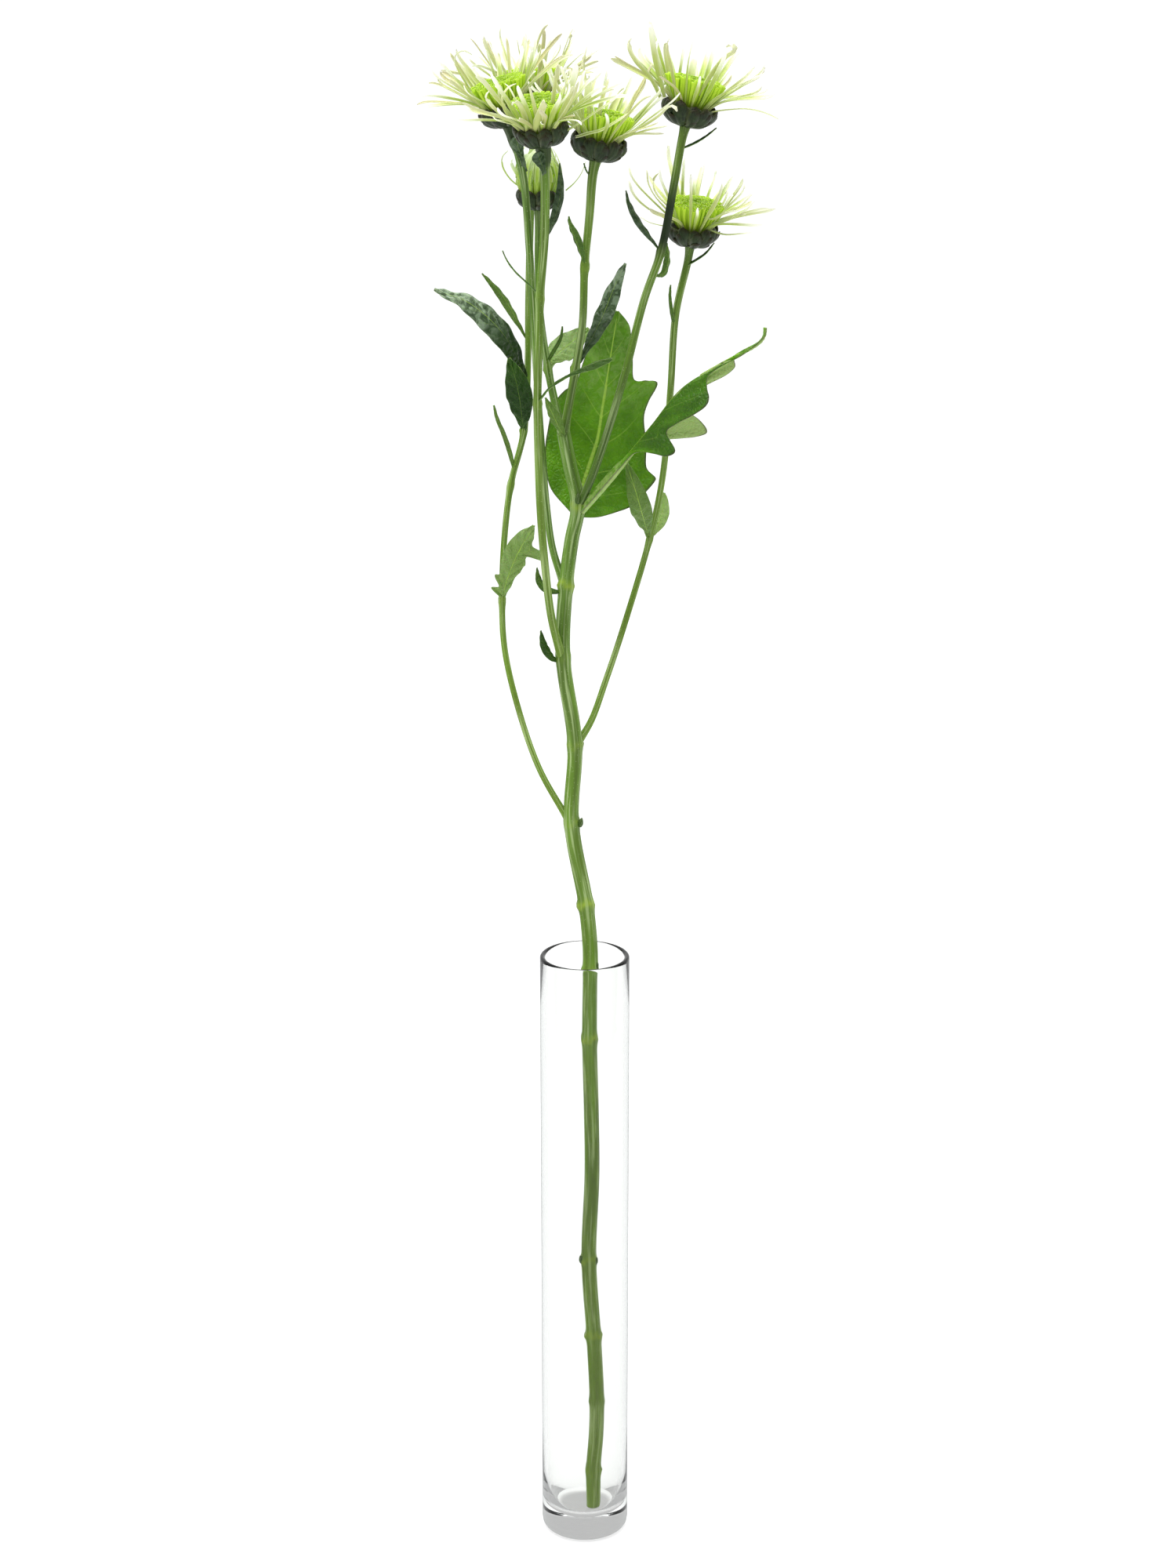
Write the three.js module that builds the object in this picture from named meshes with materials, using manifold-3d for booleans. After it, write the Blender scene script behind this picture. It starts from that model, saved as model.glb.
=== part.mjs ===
// Green spider santini chrysanthemum: one cut spray stem that stands in a clear glass tube vase.
// Millimetres, +Z up. The origin is the centre of the vase's underside, and the spray is seen from -Y.
import * as THREE from "three";
import { mergeVertices } from "three/addons/utils/BufferGeometryUtils.js";
import Module from "manifold-3d";

const wasm = await Module();
wasm.setup();

// Driving dimensions of the vase.
const VASE_HEIGHT = 250;
const VASE_RADIUS = 17.5;
const VASE_WALL = 2;
const VASE_FLOOR = 8;
const VASE_SIDES = 28;

// Driving dimensions of one flower head of size 1, along its own axis from the top of its stalk.
const CUP_RADIUS = 10;
const CUP_HEIGHT = 7;
const CUP_WELL = 8.35;
const CUP_FLOOR = 5;
const COLLAR = { inner: 5.9, outer: 8.05, low: 5.3, high: 7.6 };
const COLLAR_SIDES = 12;
const DISC_COLUMN = 5.4;
const DISC_RADIUS = 10.1;
const DISC_HEIGHT = 16.4;
const RAY_ROOT = { radius: 7, height: 6.5 };
const RAY_LENGTH = 27.5;
const RAY_WIDTH = 1.9;
const RAY_KEEL = 0.75;
const RAYS_PER_HEAD = 21;
const RAY_STEPS = 20;
const RAY_LEVELLING = 7;
const RAY_HOOK_FROM = 0.7;
const RAY_CLEAR = 0.95;
const ROOT_STEPS = 5;
const RAY_RINGS = [0, 5, 10, 15, 20];
const RAY_LEAST_HALF = 0.35;
const BRACTS_PER_CUP = 12;
const RIBS_PER_DISC = 12;

const LEAF_THICKNESS = 0.7;
const PETIOLE_KEEL = 1.5;
const PETIOLE_TO_BLADE = [0.2, 0.4];
const BLADE_TO_TAIL = [0.7, 0.86];
const SEAT_GAP = 0.3;

// Stalks: the straight neck under a head, the step between plain rings, the swelling of a joint, its rings
// as offset and share of that swelling, and how far plain rings keep from them.
const STALK_NECK = 6;
const STALK_STEP = 15;
const STEM_SIDES = 8;
const SHOOT_SIDES = 6;
const JOINT_SWELLING = 0.45;
const JOINT_PROFILE = [[-3.2, 0], [0, 1], [2.2, 0.1]];
const JOINT_CLEAR = 4;
const CURVE_FINENESS = 24;

// Dormant buds are small cones with their foot in the stem.
const BUD = { length: 4.2, radius: 1.1, sunk: 1, sides: 5 };

const LEAF_GREEN = new THREE.MeshStandardMaterial({ color: 0x2f5a26, roughness: 0.45, metalness: 0 });
const STEM_GREEN = new THREE.MeshStandardMaterial({ color: 0x6a9440, roughness: 0.6, metalness: 0 });
const CUP_GREEN = new THREE.MeshStandardMaterial({ color: 0x1d2f1c, roughness: 0.55, metalness: 0 });
const DISC_GREEN = new THREE.MeshStandardMaterial({ color: 0x9bd41a, roughness: 0.6, metalness: 0 });
const RAY_CREAM = new THREE.MeshStandardMaterial({ color: 0xe4ebb4, roughness: 0.6, metalness: 0 });
const CLEAR_GLASS = new THREE.MeshStandardMaterial({
  color: 0xf2f6f5,
  roughness: 0.05,
  metalness: 0,
  transparent: true,
  opacity: 0.3,
});

// Stalk routes, from foot to head, and the radii at foot, middle and top. The points listed as joints have
// a leaf or a scar.
const STALKS = {
  main_stem: {
    girth: [2.85, 2.95, 2.6],
    joints: [1, 3, 5, 7, 9, 11, 12, 13, 14, 15, 17],
    route: [
      [3.6, -6.3, 9.5], [3.4, -5, 27], [4.5, -4, 43], [4.8, -2.9, 58], [3.5, -0.7, 86.5], [1.6, 1.7, 119],
      [2.9, 4.6, 156], [2.6, 6.5, 182], [1.9, 8.9, 212], [2.2, 11, 240], [2, 11.8, 250], [0.4, 13.1, 266.5],
      [-5.2, 15.6, 299.5], [-3.9, 18, 330.5], [-8.4, 20.5, 365], [-7.2, 22.5, 393], [-5, 24, 410],
      [-2.6, 25, 423.5], [-5.6, 26, 438.5], [-8, 27, 451],
    ],
  },
  shoot_a: {
    girth: [1.35, 1.3, 1.5],
    joints: [],
    route: [
      [-7.5, 22.5, 392], [-12.2, 26, 406], [-14.6, 28.5, 423], [-16.1, 29.5, 441.8], [-17.7, 28.5, 466],
      [-18.8, 27.5, 487], [-20.3, 26, 516.6], [-22.4, 25, 545],
    ],
  },
  shoot_b: {
    girth: [1.55, 1.5, 1.75],
    joints: [4, 6],
    route: [
      [-8.6, 20.4, 364], [-12.6, 14, 382], [-15, 9.5, 404], [-16.6, 7, 427], [-17.4, 4.4, 466],
      [-16.9, 4, 484], [-16.3, 4, 505], [-14.4, 3, 530],
    ],
  },
  shoot_c: {
    girth: [1.15, 1.2, 1.4],
    joints: [4, 6, 7],
    route: [
      [-5.6, 15.6, 299], [-17.8, 22, 319.5], [-27.1, 32, 345], [-31.6, 39, 365], [-32.4, 44, 382],
      [-31.5, 48, 404.6], [-28.9, 52, 426], [-23.6, 55.5, 447], [-22, 58.5, 473.7], [-21.7, 60.5, 494.6],
      [-21, 61.5, 521.5],
    ],
  },
  shoot_d: {
    girth: [1.6, 1.3, 1.3],
    joints: [2],
    route: [
      [-8, 27, 450], [-10.9, 31.5, 460], [-14, 37, 474], [-16.9, 42.5, 494], [-17.7, 45, 512],
    ],
  },
  shoot_e: {
    girth: [1.7, 1.4, 1.75],
    joints: [1, 3],
    route: [
      [-8, 26.7, 450], [-3.4, 25.5, 475.5], [-0.8, 24.5, 492], [0.1, 24, 514], [1.9, 23, 533],
    ],
  },
  shoot_f: {
    girth: [1.5, 1.45, 1.5],
    joints: [4],
    route: [
      [-2.6, 24.8, 422], [3.6, 22, 437], [14.6, 23, 472], [22.4, 26.5, 501.5], [28.6, 29, 519],
      [33.4, 31, 544],
    ],
  },
  shoot_g: {
    girth: [1.25, 1.2, 1.45],
    joints: [4],
    route: [
      [-3.9, 18, 329], [2.4, 24, 338], [8.2, 33, 352], [15.2, 43, 371], [25.6, 54, 404.5],
      [30.5, 58, 427.6], [33.4, 60, 461.2], [35.3, 61, 491.5],
    ],
  },
};

// Flower heads: where each stalk ends, how far the head leans to the right and towards the viewer in
// degrees, and how open it is.
const HEADS = {
  a: { at: [-27.5, 23.5, 566], lean: [-17, 5], size: 1, open: 1, seed: 17 },
  b: { at: [-15, 0.5, 560.5], lean: [-6, 13], size: 1, open: 1, seed: 29 },
  c: { at: [-20, 61, 567], lean: [-4, -7], size: 1, open: 1, seed: 43 },
  d: { at: [-17.4, 46, 533], lean: [1, -2], size: 0.86, open: 0, seed: 59 },
  e: { at: [4.2, 22, 553.5], lean: [11, 4], size: 1.04, open: 1, seed: 71 },
  f: { at: [37.4, 32, 565], lean: [13, 0], size: 1.05, open: 1, seed: 83 },
  g: { at: [40.6, 61.5, 518], lean: [7, 9], size: 1.03, open: 1, seed: 97 },
};

// Blade outlines, in rows of [rib, left along, left out, right along, right out]. Along runs from 0 to 1,
// and out is a share of the leaf's half width.
const OUTLINES = {
  lance: [
    [0, 0, 0.2, 0, 0.2], [0.14, 0.14, 0.34, 0.14, 0.34], [0.3, 0.3, 0.72, 0.3, 0.72], [0.5, 0.5, 1, 0.5, 1],
    [0.68, 0.68, 0.92, 0.68, 0.92], [0.83, 0.83, 0.62, 0.83, 0.62], [0.93, 0.93, 0.34, 0.93, 0.34],
    [1, 1, 0.08, 1, 0.08],
  ],
  spoon: [
    [0, 0, 0.4, 0, 0.4], [0.25, 0.25, 0.34, 0.25, 0.34], [0.5, 0.5, 0.42, 0.5, 0.42],
    [0.68, 0.68, 0.75, 0.68, 0.75], [0.84, 0.84, 1, 0.84, 1], [0.95, 0.95, 0.72, 0.95, 0.72],
    [1, 1, 0.3, 1, 0.3],
  ],
  sliver: [
    [0, 0, 0.7, 0, 0.7], [0.3, 0.3, 1, 0.3, 1], [0.6, 0.6, 0.9, 0.6, 0.9], [0.85, 0.85, 0.65, 0.85, 0.65],
    [1, 1, 0.3, 1, 0.3],
  ],
  toothed: [
    [0, 0, 0.12, 0, 0.12], [0.06, 0.05, 0.2, 0.05, 0.16], [0.12, 0.16, 0.95, 0.14, 0.3],
    [0.17, 0.18, 0.42, 0.2, 0.4], [0.26, 0.31, 0.92, 0.3, 0.52], [0.33, 0.34, 0.6, 0.4, 0.68],
    [0.5, 0.5, 0.85, 0.52, 0.85],
    [0.62, 0.62, 0.93, 0.63, 0.75], [0.66, 0.66, 0.92, 0.66, 1.9], [0.7, 0.7, 0.9, 0.76, 1.8],
    [0.75, 0.75, 0.84, 0.78, 0.7], [0.87, 0.87, 0.62, 0.87, 0.46], [1, 1, 0.06, 1, 0.06],
  ],
  broad: [
    [0, 0, 0.04, 0, 0.06], [0.04, 0.05, 0.2, 0.03, 0.34], [0.09, 0.12, 0.42, 0.1, 0.62],
    [0.15, 0.19, 0.55, 0.17, 0.82], [0.22, 0.26, 0.65, 0.25, 0.92], [0.3, 0.34, 0.71, 0.33, 1],
    [0.35, 0.4, 0.74, 0.36, 0.8], [0.43, 0.48, 0.73, 0.44, 0.7], [0.5, 0.55, 0.67, 0.53, 0.63],
    [0.56, 0.6, 0.57, 0.61, 0.66], [0.62, 0.622, 0.46, 0.7, 0.74], [0.67, 0.66, 0.41, 0.69, 0.47],
    [0.72, 0.73, 0.38, 0.71, 0.37], [0.8, 0.81, 0.33, 0.8, 0.32], [0.89, 0.89, 0.26, 0.89, 0.25],
    [0.95, 0.95, 0.16, 0.95, 0.18], [1, 1, 0.02, 1, 0.02],
  ],
  lobed: [
    [0, 0, 0.12, 0, 0.12], [0.15, 0.15, 0.1, 0.15, 0.1], [0.295, 0.295, 0.1, 0.295, 0.1],
    [0.33, 0.33, 0.2, 0.347, 0.23], [0.36, 0.37, 0.3, 0.389, 0.55], [0.39, 0.41, 0.42, 0.425, 0.86],
    [0.42, 0.448, 0.74, 0.463, 0.92], [0.45, 0.483, 1.01, 0.474, 0.44], [0.48, 0.517, 1.18, 0.521, 0.52],
    [0.525, 0.545, 0.85, 0.594, 0.74], [0.56, 0.56, 0.5, 0.663, 0.92], [0.595, 0.6, 0.24, 0.704, 0.85],
    [0.63, 0.66, 0.34, 0.71, 0.47], [0.68, 0.74, 0.3, 0.72, 0.2], [0.73, 0.755, 0.14, 0.745, 0.16],
    [0.79, 0.79, 0.1, 0.8, 0.14], [0.85, 0.85, 0.07, 0.86, 0.1], [0.94, 0.94, 0.05, 0.94, 0.05],
    [1, 1, 0.04, 1, 0.04],
  ],
};

// Leaves: the stalk each grows from, its rib from the stalk outwards, its half width, the way its upper
// face looks, and how far its halves fold down from that face in degrees. Slivers are fused to their
// stalk, and the rest are nodes of their own.
const LEAVES = {
  leaf_main_broad: {
    host: "main_stem", outline: "broad", half: 27, face: [0.1, -1, 0.3], fold: [9, 9],
    rib: [
      [-3.6, 25.4, 419.5], [-1.4, 33, 428], [1.9, 38, 437.5], [4.9, 41, 446], [7.3, 44, 460.8],
      [12.7, 46, 494.4],
    ],
  },
  leaf_main_lobed: {
    host: "main_stem", outline: "lobed", half: 17.5, face: [-0.5, -0.55, 0.7], fold: [100, 14],
    rib: [
      [-2.4, 24.4, 421.5], [7.2, 17, 433.9], [16, 13, 445.2], [25.3, 9, 457.7], [35.6, 5, 471.3],
      [50.3, 0, 481.6], [63, -4, 489.4], [65.4, -5, 492.4], [65.7, -5, 495.3],
    ],
  },
  leaf_low_hook: {
    host: "main_stem", outline: "lance", half: 1.6, face: [0.4, -0.8, 0.4], fold: [16, 16],
    rib: [
      [-7.2, 22, 390.5], [-11, 20, 390.8], [-14.6, 19.4, 392], [-17.2, 19.2, 395], [-18.2, 19.2, 400.4],
    ],
  },
  leaf_low_dark: {
    host: "main_stem", outline: "lance", half: 1.8, face: [0.5, -0.8, 0.3], fold: [14, 14],
    rib: [
      [-8.6, 20.4, 362.5], [-12.6, 17.6, 365.4], [-15.3, 16.2, 370], [-16.2, 15.8, 373.3],
      [-16.7, 15.8, 376.5],
    ],
  },
  sheath_a: {
    host: "shoot_a", outline: "spoon", half: 2.7, face: [0, -1, 0.1], fold: [18, 18],
    rib: [[-22, 24.6, 548.5], [-22.8, 22.2, 553], [-24.2, 20.9, 557.5], [-25.4, 20, 561.5]],
  },
  leaf_b_right: {
    host: "shoot_b", outline: "spoon", half: 2.6, face: [-0.25, -0.45, 0.85], fold: [30, 26],
    rib: [
      [-17.2, 4.3, 467], [-13.1, -1, 472.8], [-5.9, -4, 478], [-0.1, -6, 481], [5.6, -8, 483.6],
      [9.9, -8.6, 484.7],
    ],
  },
  sliver_b_left: {
    host: "shoot_b", outline: "sliver", half: 0.9, face: [0.5, 0, 0.8], fold: [20, 20],
    rib: [[-16.3, 4, 506], [-20.6, 6, 510], [-25.6, 8, 514.5], [-28.6, 9.5, 518.5], [-30, 10, 521.5]],
  },
  sheath_b: {
    host: "shoot_b", outline: "spoon", half: 2.7, face: [0.2, -1, 0], fold: [20, 20],
    rib: [[-14, 2.8, 546.5], [-14.6, -0.2, 551], [-15.8, -1.9, 554.6], [-16.9, -3.2, 557.8]],
  },
  leaf_c_low: {
    host: "shoot_c", outline: "toothed", half: 5.6, face: [0.2, -1, 0.2], fold: [8, 8],
    rib: [[-32.2, 44, 381.5], [-30.8, 41, 389], [-28.6, 39, 395.7], [-25.4, 37.8, 403], [-19.6, 36.5, 413]],
  },
  sliver_c_low: {
    host: "shoot_c", outline: "sliver", half: 1.1, face: [0.3, -0.7, 0.5], fold: [15, 15],
    rib: [[-27.6, 52.8, 433], [-29.5, 50.5, 441], [-31.4, 49, 447], [-33.8, 48, 453], [-35, 48, 458]],
  },
  leaf_c_dark: {
    host: "shoot_c", outline: "lance", half: 5.2, face: [-0.15, -1, 0.1], fold: [12, 12],
    rib: [
      [-23.8, 55.4, 446.5], [-24.2, 50.5, 452], [-25, 47.5, 460], [-26.6, 45.8, 468.5], [-29, 44.8, 476.5],
    ],
  },
  leaf_c_long: {
    host: "shoot_c", outline: "lance", half: 4.3, face: [-0.1, -0.75, 0.7], fold: [14, 14],
    rib: [
      [-22.4, 58, 464], [-25.4, 53, 474], [-30.3, 48, 484.3], [-37.5, 44, 493], [-45.7, 40.5, 499.4],
      [-52.1, 38, 502], [-56.6, 37, 504],
    ],
  },
  leaf_c_slim: {
    host: "shoot_c", outline: "lance", half: 2, face: [0.3, -0.8, 0.6], fold: [24, 24],
    rib: [[-21.9, 60, 481], [-25.6, 57, 488.5], [-30.6, 52.5, 498], [-35, 49.5, 504], [-39, 48, 508.5]],
  },
  leaf_d_broad: {
    host: "shoot_d", outline: "lance", half: 5.4, face: [-0.2, -1, 0.3], fold: [6, 6],
    rib: [[-14, 37, 473.5], [-12, 42, 477], [-8.6, 47.5, 479.5], [-4.4, 51, 482.5], [1.5, 53.5, 487]],
  },
  sliver_d: {
    host: "shoot_d", outline: "sliver", half: 0.8, face: [0.4, -0.8, 0.4], fold: [10, 10],
    rib: [[-14.4, 37.6, 476], [-11.6, 34.8, 481], [-9, 33.2, 486], [-8.3, 32.8, 490.5]],
  },
  leaf_d_top: {
    host: "shoot_d", outline: "lance", half: 1.9, face: [0.4, -0.9, 0.1], fold: [18, 18],
    rib: [[-17.6, 45.4, 519], [-14, 43.2, 524], [-11, 40.6, 531], [-9, 38.6, 540], [-9.2, 38, 550.5]],
  },
  leaf_fork: {
    host: "main_stem", outline: "lance", half: 2.4, face: [-0.5, -0.9, 0.2], fold: [16, 16],
    rib: [[-7, 26.6, 449], [-9.4, 22.4, 453.4], [-12, 20.6, 459.2], [-14.8, 19.6, 465.5]],
  },
  leaf_e_low: {
    host: "shoot_e", outline: "lance", half: 4, face: [-0.5, -0.8, 0.35], fold: [12, 12],
    rib: [[-2.9, 25.2, 477], [2.9, 28, 487], [7.2, 31.5, 495.5], [10.7, 33.5, 504], [15.2, 34.5, 514]],
  },
  leaf_e_high: {
    host: "shoot_e", outline: "lance", half: 2.1, face: [-0.6, -0.7, 0.1], fold: [30, 30],
    rib: [[0.1, 24, 513], [-1.4, 20.8, 519], [-3.7, 19, 525.6], [-5.6, 18, 530.4], [-5.9, 17.6, 533]],
  },
  sliver_e_top: {
    host: "shoot_e", outline: "sliver", half: 0.8, face: [-0.8, -0.3, 0.2], fold: [10, 10],
    rib: [[2.4, 22.4, 546.5], [0.4, 21.6, 549.5], [-0.3, 21.2, 552]],
  },
  leaf_f_left: {
    host: "shoot_f", outline: "lance", half: 1.8, face: [0.6, -0.7, 0.4], fold: [26, 26],
    rib: [[28.6, 29, 519], [24.6, 26, 524.5], [20, 23.8, 531], [16.6, 22.4, 537.5], [15.4, 22, 542]],
  },
  leaf_f_right: {
    host: "shoot_f", outline: "lance", half: 1.9, face: [0.7, -0.6, 0.2], fold: [22, 22],
    rib: [[26.4, 28, 510], [29.8, 31.6, 510.5], [31.4, 33, 515], [31, 33.6, 521.5]],
  },
  sliver_f_top: {
    host: "shoot_f", outline: "sliver", half: 0.7, face: [-0.6, -0.4, 0.6], fold: [10, 10],
    rib: [[36, 31.8, 556.5], [40.4, 31.6, 558.4], [44.6, 31.4, 560.8], [48.8, 31.2, 564]],
  },
  leaf_g_left: {
    host: "shoot_g", outline: "lance", half: 4.2, face: [-0.1, -1, 0.15], fold: [10, 10],
    rib: [[25.2, 53.4, 405], [23.7, 44.5, 411.4], [21.4, 34, 420.9], [18.7, 31, 430.5], [16, 30.5, 438.7]],
  },
  leaf_g_right: {
    host: "shoot_g", outline: "lance", half: 3, face: [0.1, -1, 0.1], fold: [10, 10],
    rib: [[25.8, 54.2, 404.5], [28.6, 58, 408.5], [30.8, 62.4, 413.8], [31.6, 64.4, 420.5]],
  },
  sliver_g_mid: {
    host: "shoot_g", outline: "sliver", half: 0.8, face: [-0.5, -0.8, 0.2], fold: [10, 10],
    rib: [[34.8, 60.8, 486], [33.6, 58.6, 492], [32.8, 57.6, 498.5], [33, 57.2, 503]],
  },
  sliver_g_top: {
    host: "shoot_g", outline: "sliver", half: 0.7, face: [-0.6, -0.4, 0.6], fold: [10, 10],
    rib: [[39.2, 61.4, 510], [42.6, 61.4, 512], [46.4, 61.4, 514.6], [49.8, 61.4, 518.6]],
  },
};

// Dormant buds on the main stem: point on the stem and the way each points.
const BUDS = [
  [[-1.8, 14.4, 299], [0.25, -0.3, 1]],
  [[4, 1, 117.5], [0.35, -0.3, 1]],
  [[-0.9, 0.8, 116.5], [-0.8, -0.3, 0.7]],
  [[4.4, 10.4, 239.5], [0.8, -0.3, 0.6]],
  [[-2.6, 22.6, 425.5], [0.05, -0.15, 1]],
];

const vector = (p) => new THREE.Vector3(p[0], p[1], p[2]);
const radians = THREE.MathUtils.degToRad;

// A closed skin over rings with the same number of points each, and a fan over each end. A blade's rings go out
// on its upper face and back on its lower one, and its squares are split alike on both.
function skin(rings, blade = false) {
  const count = rings[0].length;
  const position = rings.flat().flatMap((p) => [p.x, p.y, p.z]);
  const index = [];
  for (let i = 0; i + 1 < rings.length; i++) {
    for (let j = 0; j < count; j++) {
      const a = i * count + j;
      const b = i * count + ((j + 1) % count);
      if (blade && j >= count / 2) index.push(a, b, a + count, b, b + count, a + count);
      else index.push(a, b, b + count, a, b + count, a + count);
    }
  }
  const last = (rings.length - 1) * count;
  for (let j = 1; j + 1 < count; j++) {
    index.push(0, j + 1, j);
    index.push(last, last + j, last + j + 1);
  }
  const geometry = new THREE.BufferGeometry();
  geometry.setAttribute("position", new THREE.Float32BufferAttribute(position, 3));
  geometry.setIndex(index);
  return geometry;
}

// A closed geometry as a manifold-3d solid with its faces pointing out.
function solid(geometry) {
  const bare = new THREE.BufferGeometry().setAttribute("position", geometry.getAttribute("position"));
  bare.setIndex(geometry.index);
  const merged = mergeVertices(bare, 1e-4);
  const vertProperties = Float32Array.from(merged.getAttribute("position").array);
  const triVerts = Uint32Array.from(merged.index.array);
  let made = new wasm.Manifold(new wasm.Mesh({ numProp: 3, vertProperties, triVerts }));
  if (made.volume() < 0) {
    for (let i = 0; i < triVerts.length; i += 3)
      [triVerts[i + 1], triVerts[i + 2]] = [triVerts[i + 2], triVerts[i + 1]];
    made = new wasm.Manifold(new wasm.Mesh({ numProp: 3, vertProperties, triVerts }));
  }
  return made;
}

// The largest body of a solid: what a cut leaves behind as a scrap is dropped.
function largest(made) {
  return made.decompose().reduce((best, body) => (body.volume() > best.volume() ? body : best));
}

function geometryOf(made) {
  const { vertProperties, triVerts } = made.getMesh();
  const geometry = new THREE.BufferGeometry();
  geometry.setAttribute("position", new THREE.Float32BufferAttribute(vertProperties, 3));
  geometry.setIndex(Array.from(triVerts));
  return geometry;
}

// Repeatable draws between two limits.
function drawsFrom(seed) {
  let state = seed * 7919;
  const draw = (low, high) => {
    state = (state * 1664525 + 1013904223) % 4294967296;
    return low + ((high - low) * state) / 4294967296;
  };
  for (let i = 0; i < 4; i++) draw(0, 1);
  return draw;
}

// A head's own axes: z along its stalk's end, x to the right and y away from the viewer.
function headAxes(head) {
  const right = radians(head.lean[0]);
  const front = radians(head.lean[1]);
  const level = Math.cos(front);
  const z = new THREE.Vector3(Math.sin(right) * level, -Math.sin(front), Math.cos(right) * level);
  const x = new THREE.Vector3(0, 1, 0).cross(z).normalize();
  const y = z.clone().cross(x);
  return { origin: vector(head.at), x, y, z };
}

// A point given in a head's own axes, scaled by the head's size.
function onHead(head, axes, x, y, z) {
  return axes.origin
    .clone()
    .addScaledVector(axes.x, x * head.size)
    .addScaledVector(axes.y, y * head.size)
    .addScaledVector(axes.z, z * head.size);
}

// The curve of a stalk, which runs into its head along the head's axis.
function stalkCurve(name) {
  const points = STALKS[name].route.map(vector);
  const head = HEADS[name.replace("shoot_", "")];
  if (head) {
    const { origin, z } = headAxes(head);
    points.push(origin.clone().addScaledVector(z, -STALK_NECK));
    points.push(origin.clone().addScaledVector(z, -SEAT_GAP * head.size - 0.1));
  }
  return new THREE.CatmullRomCurve3(points);
}

// Radius of a stalk at a share of its length, through its foot, middle and top radii.
function girthAt([foot, middle, top], share) {
  const bend = 2 * middle - (foot + top) / 2;
  return foot * (1 - share) ** 2 + 2 * bend * share * (1 - share) + top * share ** 2;
}

// Stations along a stalk, each as its distance from the foot and its share of the joint swelling: even
// steps, and three close ones at each joint.
function stationsOf(name, curve) {
  const divisions = CURVE_FINENESS * (curve.points.length - 1);
  const lengths = curve.getLengths(divisions);
  const total = lengths[divisions];
  const joints = STALKS[name].joints.map((k) => lengths[CURVE_FINENESS * k]);
  const swollen = joints.flatMap((s) => JOINT_PROFILE.map(([offset, swell]) => [s + offset, swell]));
  const count = Math.round(total / STALK_STEP);
  const even = Array.from({ length: count + 1 }, (_, i) => [(total * i) / count, 0]);
  const isEnd = (s) => s < 0.5 || s > total - 0.5;
  const clear = even.filter(([s]) => isEnd(s) || swollen.every(([at]) => Math.abs(at - s) > JOINT_CLEAR));
  const inside = swollen.filter(([s]) => !isEnd(s));
  return { total, stations: [...clear, ...inside].sort((p, q) => p[0] - q[0]) };
}

// A stalk as one closed tube, fatter by `grow`, which makes the shape that its neighbours are cut with.
function stalkSolid(name, sides, grow) {
  const curve = stalkCurve(name);
  const { total, stations } = stationsOf(name, curve);
  curve.arcLengthDivisions = CURVE_FINENESS * (curve.points.length - 1);
  let across = new THREE.Vector3(1, 0, 0);
  const rings = stations.map(([s, swell]) => {
    const share = s / total;
    const centre = curve.getPointAt(share);
    const along = curve.getTangentAt(share);
    across = across.clone().addScaledVector(along, -across.dot(along)).normalize();
    const other = along.clone().cross(across);
    const radius = girthAt(STALKS[name].girth, share) + JOINT_SWELLING * swell + grow;
    return Array.from({ length: sides }, (_, j) => {
      const turn = (2 * Math.PI * j) / sides;
      return centre
        .clone()
        .addScaledVector(across, radius * Math.cos(turn))
        .addScaledVector(other, radius * Math.sin(turn));
    });
  });
  return solid(skin(rings));
}

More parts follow.
